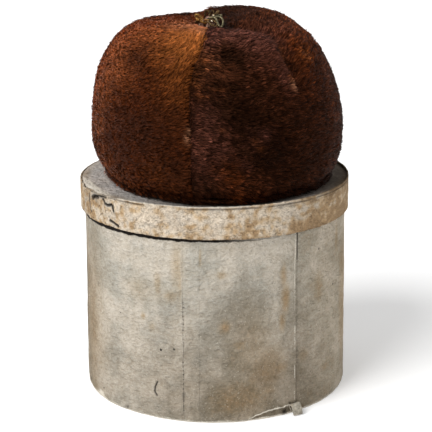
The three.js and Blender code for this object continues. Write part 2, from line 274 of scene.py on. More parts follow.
def finished(name, shape, material, slot, *replaced):
    """Turns a bmesh or a mesh into a piece that rides with the object."""
    mesh = mesh_of(name, shape) if isinstance(shape, bmesh.types.BMesh) else shape
    mesh.shade_smooth()
    mesh.materials.append(material)
    piece = placed(name, mesh)
    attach(piece, "root")
    if replaced:
        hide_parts(*replaced)
    return piece


# ---- shader building ----
class Value:
    """What comes out of a node, reckoned with as in a formula."""

    def __init__(self, shader, socket):
        self.shader, self.socket = shader, socket

    def __add__(self, other):
        return self.shader.math("ADD", self, other)

    def __sub__(self, other):
        return self.shader.math("SUBTRACT", self, other)

    def __rsub__(self, other):
        return self.shader.math("SUBTRACT", other, self)

    def __mul__(self, other):
        return self.shader.math("MULTIPLY", self, other)

    def __abs__(self):
        return self.shader.math("ABSOLUTE", self)


class Shader:
    """A material's or a group's node tree, filled by short calls."""

    def __init__(self, tree):
        self.tree = tree
        self.here = None

    def node(self, kind, inputs=None, **settings):
        made = self.tree.nodes.new(kind)
        for name, value in settings.items():
            setattr(made, name, value)
        for name, value in (inputs or {}).items():
            self.feed(made.inputs[name], value)
        return made

    def out(self, kind, inputs=None, output=0, **settings):
        return Value(self, self.node(kind, inputs, **settings).outputs[output])

    def feed(self, socket, value):
        if isinstance(value, Value):
            self.tree.links.new(value.socket, socket)
        elif hasattr(socket.default_value, "__len__") and len(socket.default_value) == 4:
            socket.default_value = (*value[:3], 1.0)
        else:
            socket.default_value = value

    def place(self):
        self.here = self.here or self.out("ShaderNodeTexCoord", output="Object")
        return self.here

    def along(self, axis):
        return self.out("ShaderNodeSeparateXYZ", {"Vector": self.place()}, axis)

    def attribute(self, name, output="Fac"):
        return self.out("ShaderNodeAttribute", output=output, attribute_name=name)

    def noise(self, scale, detail=4.0, roughness=0.55, distortion=0.0, squeeze=None):
        place = self.place()
        if squeeze:
            place = self.out("ShaderNodeMapping", {"Vector": place, "Scale": squeeze})
        return self.out("ShaderNodeTexNoise", {"Vector": place, "Scale": scale, "Detail": detail,
                                               "Roughness": roughness, "Distortion": distortion}, "Fac")

    def ramp(self, value, low, high, to_low=0.0, to_high=1.0):
        return self.out("ShaderNodeMapRange", {"Value": value, "From Min": low, "From Max": high,
                                               "To Min": to_low, "To Max": to_high},
                        interpolation_type="SMOOTHSTEP")

    def math(self, operation, a, b=0.0):
        return self.out("ShaderNodeMath", {0: a, 1: b}, operation=operation)

    def highest(self, first, *others):
        for other in others:
            first = self.math("MAXIMUM", first, other)
        return first

    def mix(self, share, a, b, blend="MIX"):
        return self.out("ShaderNodeMix", {0: share, 6: a, 7: b}, 2, data_type="RGBA", blend_type=blend)

    def bump(self, height, strength, distance):
        return self.out("ShaderNodeBump", {"Height": height, "Strength": strength, "Distance": distance})


class Finish(Shader):
    """A new material, whose surface is given last."""

    def __init__(self, name):
        self.material = bpy.data.materials.new(name)
        self.material.use_nodes = True
        super().__init__(self.material.node_tree)

    def surface(self, inputs):
        """Feeds the surface's sockets, plain numbers and colours straight, and gives the material."""
        for name, value in inputs.items():
            self.feed(self.tree.nodes["Principled BSDF"].inputs[name], value)
        return self.material


def old_paper():
    """Fibrous, cockled, stained old paper: its colour, roughness and height."""
    group = bpy.data.node_groups.get("Old paper")
    if group:
        return group
    group = bpy.data.node_groups.new("Old paper", "ShaderNodeTree")
    for way, kind, labels in (("INPUT", "NodeSocketColor", "Paper Tint Stain Dirt Worn"),
                              ("INPUT", "NodeSocketFloat", "Stained Soiled Dingy Rubbed Crackled"),
                              ("OUTPUT", "NodeSocketColor", "Colour"),
                              ("OUTPUT", "NodeSocketFloat", "Roughness Height")):
        for label in labels.split():
            group.interface.new_socket(label, in_out=way, socket_type=kind)
    s = Shader(group)
    given = s.node("NodeGroupInput").outputs[:10]
    paper, tint, stain, dirt, worn, stained, soiled, dingy, rubbed, crackled = (
        Value(s, socket) for socket in given)
    cloudy = s.noise(26, 5, 0.6)
    cockle = s.noise(84, 5, 0.62, 0.25, (1, 1, 1.6))
    ripple = s.noise(170, 4, 0.6, 0, (1, 1, 1.9))
    swell = s.noise(42, 2, 0.5)
    mottle = s.noise(260, 5, 0.65)
    grain = s.noise(330, 3, 0.55, 0, (1, 1, 1.5))
    fibre = s.noise(700, 4, 0.7, 1.2, (1, 1, 1.7))
    patchy = s.noise(95, 4, 0.62, 0, (1, 1, 1.4))
    vein = abs(s.noise(260, 6, 0.66, 1) - 0.5)
    crackle = s.ramp(vein, 0.030, 0.0) * s.ramp(mottle, 0.40, 0.60) * crackled

    def tinted(base, by, share=1.0):
        return s.mix(share, base, by, "MULTIPLY")

    base = s.mix(s.ramp(cloudy, 0.38, 0.62, 0.0, 0.75), paper, tint)
    for pattern, low, high, dark, light, share in (
            (mottle, 0.30, 0.72, (0.91, 0.90, 0.88), (1.06, 1.06, 1.05), 1.0),
            (fibre, 0.34, 0.68, (0.92, 0.91, 0.90), (1.05, 1.05, 1.05), 1.0),
            (grain, 0.34, 0.56, (0.83, 0.80, 0.75), (1.05, 1.05, 1.05), 0.6),
            (cockle, 0.30, 0.60, (0.84, 0.81, 0.76), (1.04, 1.04, 1.04), 0.55),
            (ripple, 0.34, 0.56, (0.86, 0.83, 0.79), (1.03, 1.03, 1.03), 0.35)):
        base = tinted(base, s.mix(s.ramp(pattern, low, high), dark, light), share)
    soaked = s.ramp(stained + (cloudy - 0.5) * 0.8, 0.05, 1.0)
    base = s.mix(soaked, base, tinted(base, (0.86, 0.72, 0.53)))
    # Darkens the paper to a dull grey: grime, and on some pieces painted shade.
    dull = s.ramp(dingy + (cloudy * 0.6 + patchy * 0.4 - 0.5), 0.0, 1.0)
    base = s.mix(dull, base, tinted(base, (0.455, 0.413, 0.355)))
    for share, over in (
            (s.ramp(stained + (mottle * 0.6 + cloudy * 0.4 - 0.5) * 2.4, 0.40, 1.25, 0.0, 0.7), stain),
            (crackle, dirt),
            (s.ramp(s.noise(640, 1, 0.5, 0, (1.3, 1.3, 1)), 0.66, 0.74, 0.0, 0.35), worn),
            # Dark specks and grime, which on the lid and the band's lower edge also stand for painted
            # shade.
            (s.ramp(s.noise(520, 2, 0.5), 0.68, 0.75) * (soiled + 0.15), dirt),
            (s.ramp(soiled + (mottle - 0.55) * 1.2, 0.40, 1.2, 0.0, 0.7), dirt),
            (s.ramp(rubbed + (fibre - 0.5) * 0.9, 0.35, 0.7), worn)):
        base = s.mix(share, base, over)
    height = (mottle * 0.30 + fibre * 0.08 + ripple * 0.60 + grain * 0.42 + swell * 1.2
              + crackle * -0.3 + cockle * 1.25)
    s.node("NodeGroupOutput", {"Colour": base, "Roughness": s.ramp(mottle, 0.3, 0.7, 0.98, 0.8),
                               "Height": height})
    return group


PAPER_ATTRIBUTES = ("stained", "soiled", "dingy", "rubbed", "dark")
PAPER_RELIEF = 4.4 * MM  # how high the unevenness of the paper is drawn
# Where the mask of dark is full it shows cracks and holes, and painted shadow in gaps and corners.
DARK_OF_CRACKS_AND_SHADOW = (0.012, 0.008, 0.006)  # what is seen where the mask of dark is full


def paper_material(name, paper, tint, soiled, crackled=0.0, lines=None):
    """Old paper whose stains, grime, painted shade and bare fibres follow the piece's own attributes; lines
    may add fine marks, painted shadows among them, as masks of dark, of bare fibres and of relief."""
    box = bpy.context.scene.fur_cap_box
    s = Finish(name)
    dark, rubbed = s.attribute("dark"), s.attribute("rubbed")
    if lines:
        fine_dark, fine_rubbed, relief = lines(s)
        dark, rubbed = s.highest(dark, fine_dark), s.highest(rubbed, fine_rubbed)
    old = s.node("ShaderNodeGroup", node_tree=old_paper())
    values = {"Paper": paper, "Tint": tint, "Stain": box.stain, "Dirt": box.dirt, "Worn": box.worn,
              "Stained": s.attribute("stained"), "Soiled": s.attribute("soiled") + soiled,
              "Dingy": s.attribute("dingy"), "Rubbed": rubbed, "Crackled": crackled}
    for label, value in values.items():
        s.feed(old.inputs[label], value)
    colour_out, roughness, height = (Value(s, socket) for socket in old.outputs)
    if lines:
        height = height + relief
    return s.surface({"Base Color": s.mix(dark, colour_out, DARK_OF_CRACKS_AND_SHADOW),
                      "Roughness": roughness, "Normal": s.bump(height, 1.0, PAPER_RELIEF),
                      "Specular IOR Level": 0.15})


def fur_material(name, bump):
    """Hair or skin, coloured by its own attribute, with the soft sheen of fur."""
    s = Finish(name)
    streak = s.noise(900, 2, 0.5)
    shade = s.mix(s.ramp(streak, 0.3, 0.7), (0.72, 0.70, 0.68), (1.25, 1.25, 1.25))
    look = {"Base Color": s.mix(0.8, s.attribute("hair_colour", "Color"), shade, "MULTIPLY"),
            "Roughness": s.ramp(streak, 0.3, 0.7, 0.50, 0.32),
            "Specular IOR Level": 0.12, "Specular Tint": (1.0, 0.36, 0.14),
            "Sheen Weight": 0.004, "Sheen Roughness": 0.4, "Sheen Tint": (1.0, 0.52, 0.36)}
    if bump:
        look["Normal"] = s.bump(streak, 0.8, 1.0 * MM)
    return s.surface(look)


# ---- the fur ----
# Patches of other colours in the fur, by the direction in which they lie from the cap's middle:
# azimuth and elevation in degrees, half sizes across and upwards, colour and strength.
# The golden patches by the front join are partly a painted highlight, the rose ones on the left flank at
# azimuths -77 and -60 are painted sheen, and the sable one at azimuth 2 beside the ornament is painted
# shade.
PATCHES = table("azimuth elevation across up colour strength", [
    (-15, 52, 18, 13, "golden", 1.0), (-12, 41, 9, 9, "golden", 0.85), (-25, 42, 11, 8, "golden", 0.5),
    (-20, 28, 9, 15, "golden", 0.34), (-27, 64, 26, 8, "rose", 0.8), (-60, 50, 22, 14, "rose", 0.6),
    (-55, 27, 9, 7, "rose", 0.55), (-77, 14, 13, 46, "rose", 0.8), (-60, -16, 14, 11, "chestnut", 0.8),
    (-58, -18, 14, 9, "rose", 0.3), (-50, 36, 5, 7, "auburn", 0.6), (-34, 26, 7, 8, "auburn", 0.3),
    (-34, 4, 14, 10, "auburn", 0.75), (-18, 12, 7, 8, "auburn", 0.4), (-17, -13, 9, 9, "auburn", 0.7),
    (-20, -24, 12, 5, "sable", 0.7), (12, 52, 24, 9, "plum", 1.0), (27, 45, 10, 9, "plum", 1.0),
    (-6, 46, 6, 12, "plum", 0.8), (-6, 2, 10, 14, "plum", 1.0), (-7, 1, 6, 9, "rose", 0.1),
    (-28, -14, 8, 8, "golden", 0.08), (-4, 14, 5, 5, "plum", 0.5), (34, 29, 4, 7, "plum", 0.8),
    (16, 1, 5, 4, "plum", 0.9), (5, 40, 9, 5, "sable", 1.0), (-3, 24, 6, 8, "sable", 0.5),
    (5, 19, 8, 8, "sable", 0.8), (11, 10, 9, 9, "sable", 1.0), (23, 0, 9, 9, "sable", 0.95),
    (20, -5, 12, 5, "sable", 0.8), (30, -12, 14, 9, "sable", 0.5), (38, 42, 4, 12, "sable", 0.6),
    (52, 37, 8, 9, "chestnut", 0.9), (50, 22, 9, 9, "chestnut", 0.35), (66, 8, 8, 24, "chestnut", 0.5),
    (4, -12, 5, 5, "chestnut", 0.8), (10, -24, 9, 5, "chestnut", 1.0), (-3, -22, 4, 6, "sable", 0.9),
    (78, 40, 20, 30, "chestnut", 0.45), (150, 20, 40, 40, "chestnut", 0.5),
    (-150, 10, 30, 40, "auburn", 0.6), (25, 80, 60, 12, "sable", 0.5), (2, 64, 5, 7, "sable", 1.0),
    (-133, 69, 4, 3, "sable", 1.0), (-27, 62, 14, 7, "bald", 0.46), (-13, 55, 6, 5, "bald", 0.2),
])
# Painted light and shade on the hair by elevation: lighter on the crown, where the light falls, and darker
# below the middle.
LIGHT_BY_ELEVATION = {
    "left": {-30: 0.70, -8: 0.68, 8: 0.72, 24: 0.90, 38: 1.08, 50: 1.5, 75: 1.6},
    "right": {-30: 0.76, -8: 0.54, 8: 0.56, 24: 0.66, 38: 0.98, 52: 1.24, 66: 0.90, 80: 0.7},
}
# Small worn spots and dark holes in the fur, each about one tuft, in the same columns. The rose and
# worn spots on the right pelt's ridge near azimuth 37 are painted highlights, and the sable spots in
# the dents near azimuths 57 and 60 are painted shade.
SPOTS = table("azimuth elevation across up colour strength", [
    (-14.0, 6.8, 0.8, 1.5, "bald", 1.0), (-14.9, 2.6, 0.9, 1.9, "bald", 1.0),
    (-15.5, 1.0, 1.2, 1.2, "rose", 0.5), (-26.3, 36, 2.6, 2.2, "rose", 0.8),
    (-0.5, 25, 2.6, 0.7, "rose", 0.5), (-8.5, 21.9, 2.8, 0.6, "rose", 0.5),
    (-8.3, 37, 1.6, 1.2, "rose", 0.6), (36.8, 26.6, 1.1, 2.0, "rose", 1.0),
    (37.6, 24.2, 1.4, 1.8, "bald", 0.9), (37.4, 35.0, 1.8, 3.4, "rose", 0.42),
    (38.2, 41.0, 2.0, 2.6, "rose", 0.36), (55.0, 36.0, 4.5, 4.0, "golden", 0.24),
    (15.0, 2.1, 1.8, 1.8, "rose", 0.35), (17.2, -1.4, 1.5, 1.0, "rose", 0.5),
    (1.0, 7.1, 1.3, 1.3, "rose", 0.3), (19, 5, 5.0, 2.2, "plum", 0.5),
    (57.4, 39.2, 1.6, 1.8, "sable", 1.0), (60.1, 30.6, 1.8, 1.8, "sable", 1.0),
    (-2.3, -18.5, 2.2, 2.2, "sable", 0.9), (5.9, -14.2, 2.5, 1.6, "chestnut", 0.8),
    (10.8, -8.9, 2.2, 2.0, "plum", 0.6), (-31.5, -19.3, 4.0, 2.5, "chestnut", 0.6),
])
# Folds and dents of the padded skins: points by azimuth and elevation, half width and height in mm.
FOLDS = table("points half_width height", [
    ([(-134, 68.5), (-132, 69)], 3.4, 2.2), ([(3, 58), (14, 55), (23, 48), (31, 41)], 14.0, 1.8),
    ([(30, 41), (34, 35), (36, 29), (37, 24)], 6.0, 1.1), ([(36, 58), (40, 48), (43, 40)], 12.0, -1.8),
    ([(39, 37), (41, 31), (42, 26)], 5.0, -1.8), ([(-70, 70), (-30, 69), (-2, 66)], 6.0, 2.4),
    ([(2, 40), (10, 41)], 7.0, -1.8), ([(-25, 36), (-24, 35)], 5.0, -1.5),
    ([(-50, 40), (-46, 26)], 8.0, -1.6), ([(16, 14), (30, 2), (34, -8)], 9.0, -2.2),
    ([(12, -4), (22, -6)], 7.0, 1.6), ([(52, 34), (60, 30)], 9.0, 1.2),
    ([(57, 39), (57.4, 38)], 2.6, -2.4), ([(60, 31), (60.4, 30)], 2.6, -2.4),
    ([(95, 50), (110, 24)], 11.0, -2.4), ([(140, 56), (150, 34)], 10.0, 2.0),
    ([(-120, 50), (-112, 22)], 12.0, -2.2),
])
CAP_REACH = 118.0  # about half the cap's size in mm, which makes a distance on it of an angle


def directions(azimuth, elevation):
    """Unit vectors towards azimuths and elevations in degrees."""
    a, e = np.radians(azimuth), np.radians(elevation)
    return np.stack([np.sin(a) * np.cos(e), -np.cos(a) * np.cos(e), np.sin(e)], -1)


def outward_of(points):
    return unit(points - np.array(CAP_MIDDLE))


def folds_at(points):
    """How far the folds and dents raise the skin at places on the cap, in millimetres."""
    out = outward_of(points)
    return sum(fold["height"] * bell(far_from(out, directions(*np.array(fold["points"], float).T))
                                     * CAP_REACH, fold["half_width"]) for fold in FOLDS)


def crown_azimuths(points):
    """Azimuths round the line that leans from the cap's axis to the crown's middle."""
    rise = ease(points[:, 2], CAP_MIDDLE.z + 35 * MM, CORE_LOW.z)
    axis = [CAP_AXIS[i] + (CORE_AXIS[i] - CAP_AXIS[i]) * rise for i in (0, 1)]
    return azimuths(points, axis) - 9.0 * rise


def on_left(azimuth):
    return (azimuth - BACK_SEAM) % FULL_TURN < (FRONT_SEAM - BACK_SEAM) % FULL_TURN


def fur_colours(points, left):
    """The hair's colour at places on the cap, with painted light and shade in it; left is 1 on the left
    pelt,
    0 on the right one, and None on the hem, which runs round both."""
    fur = bpy.context.scene.fur_cap_fur
    out = outward_of(points)
    azimuth = azimuths(out)
    if left is None:
        both = np.where(on_left(azimuth)[:, None], fur_colours(points, 1), fur_colours(points, 0))
        shaded = np.maximum(bell(azimuth - 4, 50), 0.8 * bell(azimuth + 50, 34))
        return both * (1 - 0.5 * shaded)[:, None]
    elevation = np.degrees(np.arcsin(out[:, 2]))
    level = np.cos(np.radians(elevation))
    coarse, fine = 3.6 * noise_at(points, 14, 3), 2.6 * noise_at(points, 5, 4)
    found = np.broadcast_to(np.array((fur.chestnut if left else fur.auburn)[:]), points.shape)
    for marks, ragged in ((PATCHES, coarse + fine), (SPOTS, 0.35 * fine)):
        for mark in marks:
            if on_left(mark["azimuth"]) == bool(left):
                across = (wrapped(azimuth - mark["azimuth"]) * level + ragged) / mark["across"]
                up = (elevation - mark["elevation"] - ragged) / mark["up"]
                share = mark["strength"] * np.exp(-(across ** 2 + up ** 2))[:, None]
                found = found * (1 - share) + np.array(getattr(fur, mark["colour"])[:]) * share
    grain = 0.42 - 0.20 * ease(elevation, 22, 48) if left else 0.85
    tone = 1.0 + 0.32 * noise_at(points, 9, 5) + grain * noise_at(points, 3.5, 6)
    # Painted shade: the hair near the lid is drawn darker, less so at the left front and at the front.
    foot = ease(points[:, 2], LID_TOP + 1 * MM, LID_TOP + 22 * MM)
    painted_foot_shade = 0.55 * (1 - 0.75 * bell(azimuth + 58, 30) - 0.6 * bell(azimuth - 10, 14))
    # Painted light and shade by elevation: the hair is drawn lighter on the crown and darker below the
    # middle.
    bleached = LIGHT_BY_ELEVATION["left" if left else "right"]
    tone = tone * np.interp(elevation, list(bleached), list(bleached.values()))
    # Painted sheen: the hair along the far left flank, and less along the far right edge, is drawn lighter.
    tone = tone * (1 + 1.15 * bell(azimuth + 82, 24)) * (1 + 0.35 * bell(azimuth - 84, 24))
    if not left:
        # Painted shade: the right pelt's hair under the ornament's front ring is drawn dark.
        beside_core = np.hypot(points[:, 0] - CORE_AXIS.x - 7 * MM, points[:, 1] - CORE_AXIS.y + 9 * MM)
        tone = tone * (1 - 0.92 * bell(beside_core, 16 * MM))
    return found * (np.clip(tone, 0.2, 2.4) * (1 - painted_foot_shade * (1 - foot)))[:, None]


def nap(points, normals, left):
    """The direction in which the hair lies: round the cap from the back join to the front one on
    the left, and on round the right, with swirls, and hanging down over the lower edge."""
    radial = points - np.array(CORE_AXIS)
    inward = unit(normals * (radial * normals).sum(1, keepdims=True) - radial)
    above = (points[:, 2] - LID_TOP) / MM
    high = ease(above, 60, 135)
    from_seam = wrapped(crown_azimuths(points) - FRONT_SEAM)
    if left:
        angle = (12 + 44 * bell(from_seam + 10, 22) * high
                 + 26 * ease(above, 128, 146) * bell(from_seam + 25, 35))
    else:
        angle = -6 - 22 * bell(from_seam - 8, 12) * high
    angle = angle + 24 * noise_at(points, 26, 7) + 17 * noise_at(points, 8, 8)
    angle = angle + 30 * ease(above, 50, 15) * noise_at(points, 11, 9)
    hanging = bell(above - 10, 7)
    angle = np.radians(angle * (1 - hanging) - 38 * hanging)[:, None]
    return unit(np.cross(inward, normals) * np.cos(angle) + inward * np.sin(angle))


def outer_faces(mesh):
    """Corners and areas of the triangles on the fur side of a skin, with the mesh's places."""
    mesh.calc_loop_triangles()
    corners = read(mesh.loop_triangles, "vertices", np.int64)
    places = read(mesh.vertices, "co")
    a, b, c = (places[corners[:, i]] for i in range(3))
    normal = np.cross(b - a, c - a)
    area = np.linalg.norm(normal, axis=1) / 2
    normal = unit(normal)
    out = outward_of((a + b + c) / 3)
    shown = ((normal * out).sum(1) > 0.30) & (normal[:, 2] > -0.92)
    return corners[shown], area[shown], places


def scattered(mesh, per_cm2, rng):
    """Random places on the fur side of a skin, with the skin's normals there."""
    corners, area, places = outer_faces(mesh)
    count = int(area.sum() * 1e4 * per_cm2)
    chosen = corners[rng.choice(len(area), count, p=area / area.sum())]
    share = rng.random((count, 2))
    flipped = share.sum(1) > 1
    share[flipped] = 1 - share[flipped]
    weights = np.stack([1 - share.sum(1), share[:, 0], share[:, 1]], 1)[:, :, None]
    points = (places[chosen] * weights).sum(1)
    return points, unit((read(mesh.vertex_normals, "vector")[chosen] * weights).sum(1))


def gathered(points, tips, per_tuft, spacing, rng):
    """Shifts that draw the tips of neighbouring locks together, and the tuft that each lock is in."""
    count = max(8, int(len(points) / per_tuft))
    chosen = rng.choice(len(points), count, replace=False)
    kept = KDTree(count)
    for number, index in enumerate(chosen):
        kept.insert(points[index], number)
    kept.balance()
    tufts = np.array([kept.find(p)[1] for p in points])
    middles = chosen[tufts]
    far = np.linalg.norm(points[middles] - points, axis=1, keepdims=True)
    return (tips[middles] - tips) * bell(far, spacing), tufts


def locks(name, mesh, left, per_cm2, seed):
    """One mesh of many short tapered locks of hair, lying along the nap."""
    fur = bpy.context.scene.fur_cap_fur
    rng = np.random.default_rng(seed)
    points, normals = scattered(mesh, per_cm2, rng)
    count = len(points)

    def varied(low, high):
        return rng.uniform(low, high, count)[:, None]

    def spread(middle, deviation):
        return rng.normal(middle, deviation, count)

    lying = nap(points, normals, left)
    lying = unit(lying + np.cross(normals, lying) * spread(0, 0.17)[:, None])
    reach = fur.hair_length * varied(0.6, 1.25)
    lift = fur.hair_lift * varied(0.45, 1.15) * (1 + 0.3 * noise_at(points, 6, 12)[:, None])
    lift[rng.random(count) < 0.04] *= 1.5
    roll = spread(0, 0.55)[:, None]
    across = np.cross(normals, lying) * np.cos(roll) + normals * np.sin(roll)
    half = fur.hair_width / 2 * varied(0.6, 1.3)
    root = points - normals * 0.4 * MM
    middle = points + lying * reach * 0.45 + normals * lift * 0.85
    tip = points + lying * reach + normals * lift * varied(0.6, 1.2)
    pull, tufts = gathered(points, tip, 6, fur.tuft_spacing, rng)
    tuft_lift = normals * spread(0, 0.45 * MM)[tufts][:, None]
    tip = tip + pull * 0.6 + tuft_lift
    middle = middle + pull * 0.28 + tuft_lift * 0.7
    corners = np.stack([root - across * half * 0.7, root + across * half * 0.7,
                        middle - across * half, middle + across * half, tip], 1).reshape(-1, 3)
    first = np.arange(count)[:, None] * 5
    made = bpy.data.meshes.new(name)
    made.from_pydata(corners.tolist(), [], (first + [0, 1, 3, 2]).tolist() + (first + [2, 3, 4]).tolist())
    tone = fur_colours(points, left)
    unevenness, glint = (0.22, 1.3) if left else (0.52, 2.5)
    tone = tone * (varied(0.65, 1.35) if left else varied(0.55, 1.45))
    tone = tone * np.clip(spread(1, unevenness), 0.25, 2.4)[tufts][:, None]
    tone[rng.random(count) < 0.09] *= glint
    # Darker roots and lighter tips; the dark roots are partly painted shade deep among the tufts.
    root_to_tip = np.array([0.10, 0.10, 0.72, 0.72, 1.6])[None, :, None]
    set_attribute(made, "hair_colour", (tone[:, None, :] * root_to_tip).reshape(-1, 3), "FLOAT_COLOR")
    return made


def tucked(places, outer, is_hem):
    """Shifts that close the gap over the hem, and draw the cap's lower left edge in."""
    above = (places[:, 2] - LID_TOP) / MM
    flat = unit(places[:, :2] - np.array(CAP_AXIS[:2]))
    azimuth = azimuths(flat)
    front = bell(azimuth - 6, 50)
    inward = 5.5 * ease(above, 34, 4) * bell(wrapped(azimuth + 78), 42) - 7.8 * ease(above, 36, 8) * front
    if is_hem:
        inward = inward + 1.2 * outer
        drop = -1.2 * ease(above, 2, 7)
    else:
        edge = ease(above, 17, 8) * outer
        inward = inward - 1.6 * edge
        drop = (3.2 + 1.8 * front) * edge
    return np.column_stack([-flat * (inward * outer)[:, None], -drop]) * MM


def skin(name, node, left, slot, material, depth):
    """The skin under the fur: the node's form, smoothed and drawn in by the depth of the fur."""
    bm = bmesh.new()
    bm.from_mesh(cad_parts[node].data)
    bmesh.ops.remove_doubles(bm, verts=bm.verts, dist=0.01 * MM)
    bmesh.ops.join_triangles(bm, faces=bm.faces, angle_face_threshold=0.7, angle_shape_threshold=1.2)
    holder = placed(name + "_form", mesh_of(name, bm))
    holder.modifiers.new("smooth", "SUBSURF").levels = 2
    smoothed = holder.evaluated_get(bpy.context.evaluated_depsgraph_get())
    mesh = bpy.data.meshes.new_from_object(smoothed)
    bpy.data.objects.remove(holder)
    mesh.name = name
    places, normals = read(mesh.vertices, "co"), read(mesh.vertex_normals, "vector")
    faces_out = ease((normals * outward_of(places)).sum(1), 0.0, 0.5)
    puff = 0.7 * noise_at(places, 32, 20) + 0.5 * noise_at(places, 14, 21)
    puff += 0.3 * noise_at(places, 7, 22) + folds_at(places)
    worn_shut = ease(places[:, 2], LID_TOP + 92 * MM, LID_TOP + 52 * MM)
    puff += 1.5 * worn_shut * bell(wrapped(crown_azimuths(places) - FRONT_SEAM), 2.2)
    places = places + normals * (faces_out * (puff * MM - depth))[:, None]
    places = places + tucked(places, faces_out, node == "hem_band")
    mesh.vertices.foreach_set("co", places.ravel())
    set_attribute(mesh, "hair_colour", fur_colours(places, left) * 0.3, "FLOAT_COLOR")
    piece = finished(name, mesh, material, slot, node)
    return piece


class FURCAP_OT_pelts(bpy.types.Operator):
    """Make the two pelts of the cap and the band of fur round its lower edge"""
    bl_idname = "furcap.pelts"
    bl_label = "Pelts and hem"

    def execute(self, context):
        fur = context.scene.fur_cap_fur
        skin_look, hair_look = fur_material("Fur skin", True), fur_material("Fur hair", False)
        for number, (side, node, left, parts, slot) in enumerate((
                ("left", "pelt_left", 1, 2, "golden_fur"), ("right", "pelt_right", 0, 3, "dark_fur"),
                ("hem", "hem_band", None, 1, "dark_fur"))):
            base = skin(f"skin_{side}", node, left, slot, skin_look, fur.hair_lift)
            for part in range(parts):
                name = f"fur_{side}_{part + 1}"
                hair = locks(name, base.data, left, fur.hairs / parts, 10 * number + part)
                finished(name, hair, hair_look, slot)
        return {"FINISHED"}


# ---- the box ----
# Marks on the wall: azimuth in degrees, height and half sizes in millimetres, kind and strength. The
# darkening mark just under the band at the front, at height 167, is painted shadow of the band.
WALL_MARKS = table("azimuth height wide tall kind strength", [
    (-16, 152, 8.0, 30, "stained", 0.42), (-24.5, 134, 5.0, 20, "stained", 0.4),
    (-14.8, 138, 3.2, 28.6, "stained", 0.41), (-19, 122, 10.8, 7.8, "stained", 0.37),
    (-34, 125, 20.2, 16.9, "stained", 0.3), (-31.6, 98.5, 3.2, 3.9, "stained", 0.61),
    (-27.3, 90, 4.8, 5.2, "stained", 0.37), (2.7, 144, 6, 5, "stained", 0.48),
    (29.2, 138, 4.6, 15, "stained", 0.52), (30.2, 116, 5.6, 19, "stained", 0.6),
    (28.6, 94, 5.0, 14, "stained", 0.5), (50, 118, 16.2, 33.8, "stained", 0.41),
    (65, 158, 6.4, 23.4, "stained", 0.49), (4, 94, 7, 8, "stained", 0.54),
    (10, 76, 10.8, 6.5, "stained", 0.44), (27, 49, 13.5, 9.1, "stained", 0.51),
    (16, 40, 14.9, 7.8, "stained", 0.41), (22, 28, 13.5, 7.8, "stained", 0.45),
    (40, 55, 10.8, 11.7, "stained", 0.41), (54, 34, 12.2, 10.4, "stained", 0.41),
    (-74, 120, 6.4, 65, "stained", 0.41), (-6, 160, 1.9, 10.4, "stained", 0.41),
    (16, 70, 34, 55, "stained", 0.34), (12, 24, 40, 26, "stained", 0.42),
    (-82, 90, 20, 115, "dingy", 1.0), (-80, 90, 15, 105, "stained", 0.36),
    (22, 45, 34, 34, "dingy", 0.95), (10, 88, 52, 68, "dingy", 0.6), (28, 112, 10, 52, "dingy", 0.5),
    (22, 52, 26, 32, "stained", 0.46), (12, 167, 50, 8, "dingy", 0.4), (-70, 85, 38, 120, "dingy", 0.6),
    (-68, 70, 38, 110, "stained", 0.42), (76, 90, 30, 110, "stained", 0.5),
    (130, 120, 35.1, 65, "stained", 0.37), (-140, 60, 54, 39, "stained", 0.34),
    (168, 140, 24, 39, "stained", 0.28), (-108, 140, 24, 34, "stained", 0.28),
    (29.9, 3.2, 3.2, 3.0, "dark", 1.0), (-41, 3, 2.2, 1.2, "dark", 0.8), (-74, 6, 2.4, 1.3, "dark", 0.8),
    (120, 60, 1.6, 1.6, "dark", 0.7), (-60, 4, 10, 3.5, "rubbed", 0.8),
])
# Small holes in the wall: azimuth, height and radius in millimetres, and how dark.
PIN_HOLES = table("azimuth height radius dark", [
    (-23.2, 68.5, 1.0, 0.9), (-17.3, 70.8, 0.9, 0.8), (49.7, 154.4, 0.9, 0.7), (61.2, 112.9, 0.8, 0.9),
    (-57.3, 10.5, 0.9, 0.8), (-13.0, 112.0, 0.7, 0.6), (55.0, 142.0, 0.5, 0.6), (-44.0, 96.0, 0.5, 0.6),
])
# Cracks in the board: points by azimuth and height, half width and depth in millimetres.
WALL_CRACKS = table("points half_width depth", [
    ([(-25.1, 36), (-26.1, 31), (-26.4, 26), (-25.3, 22.5)], 0.75, 0.9),
    ([(-13.3, 29), (-13.2, 20)], 0.4, 0.3), ([(-17, 12), (-15.5, 8)], 0.4, 0.3),
    ([(32.4, 10.8), (35.0, 9.6)], 0.6, 0.6),
])
BAND_CRACKS = table("points half_width depth", [
    ([(-57.8, 206.6), (-54.5, 205.6), (-50.2, 206.2)], 1.3, 2.2),
    ([(-60.5, 200.5), (-58.8, 202.8), (-56.0, 203.6)], 1.7, 2.2),
    ([(-52.0, 203.0), (-50.5, 200.0), (-48.6, 199.2), (-46.4, 200.4)], 1.2, 1.8),
    ([(-45.6, 199.5), (-45.3, 194.8)], 1.15, 1.6),
    ([(-47.4, 185.2), (-45.0, 183.6), (-42.6, 181.6)], 1.15, 1.6),
    ([(-63.5, 203.0), (-63.0, 194.0), (-62.0, 186.0)], 0.9, 0.9),
])
# The tear along the wall's foot: azimuths along its edge, and its heights there in millimetres.
FOOT_TEAR = ((11, 14, 17.5, 22, 27, 32, 34), (-1.0, 1.5, 4.6, 7.2, 7.6, 8.4, -1.0))


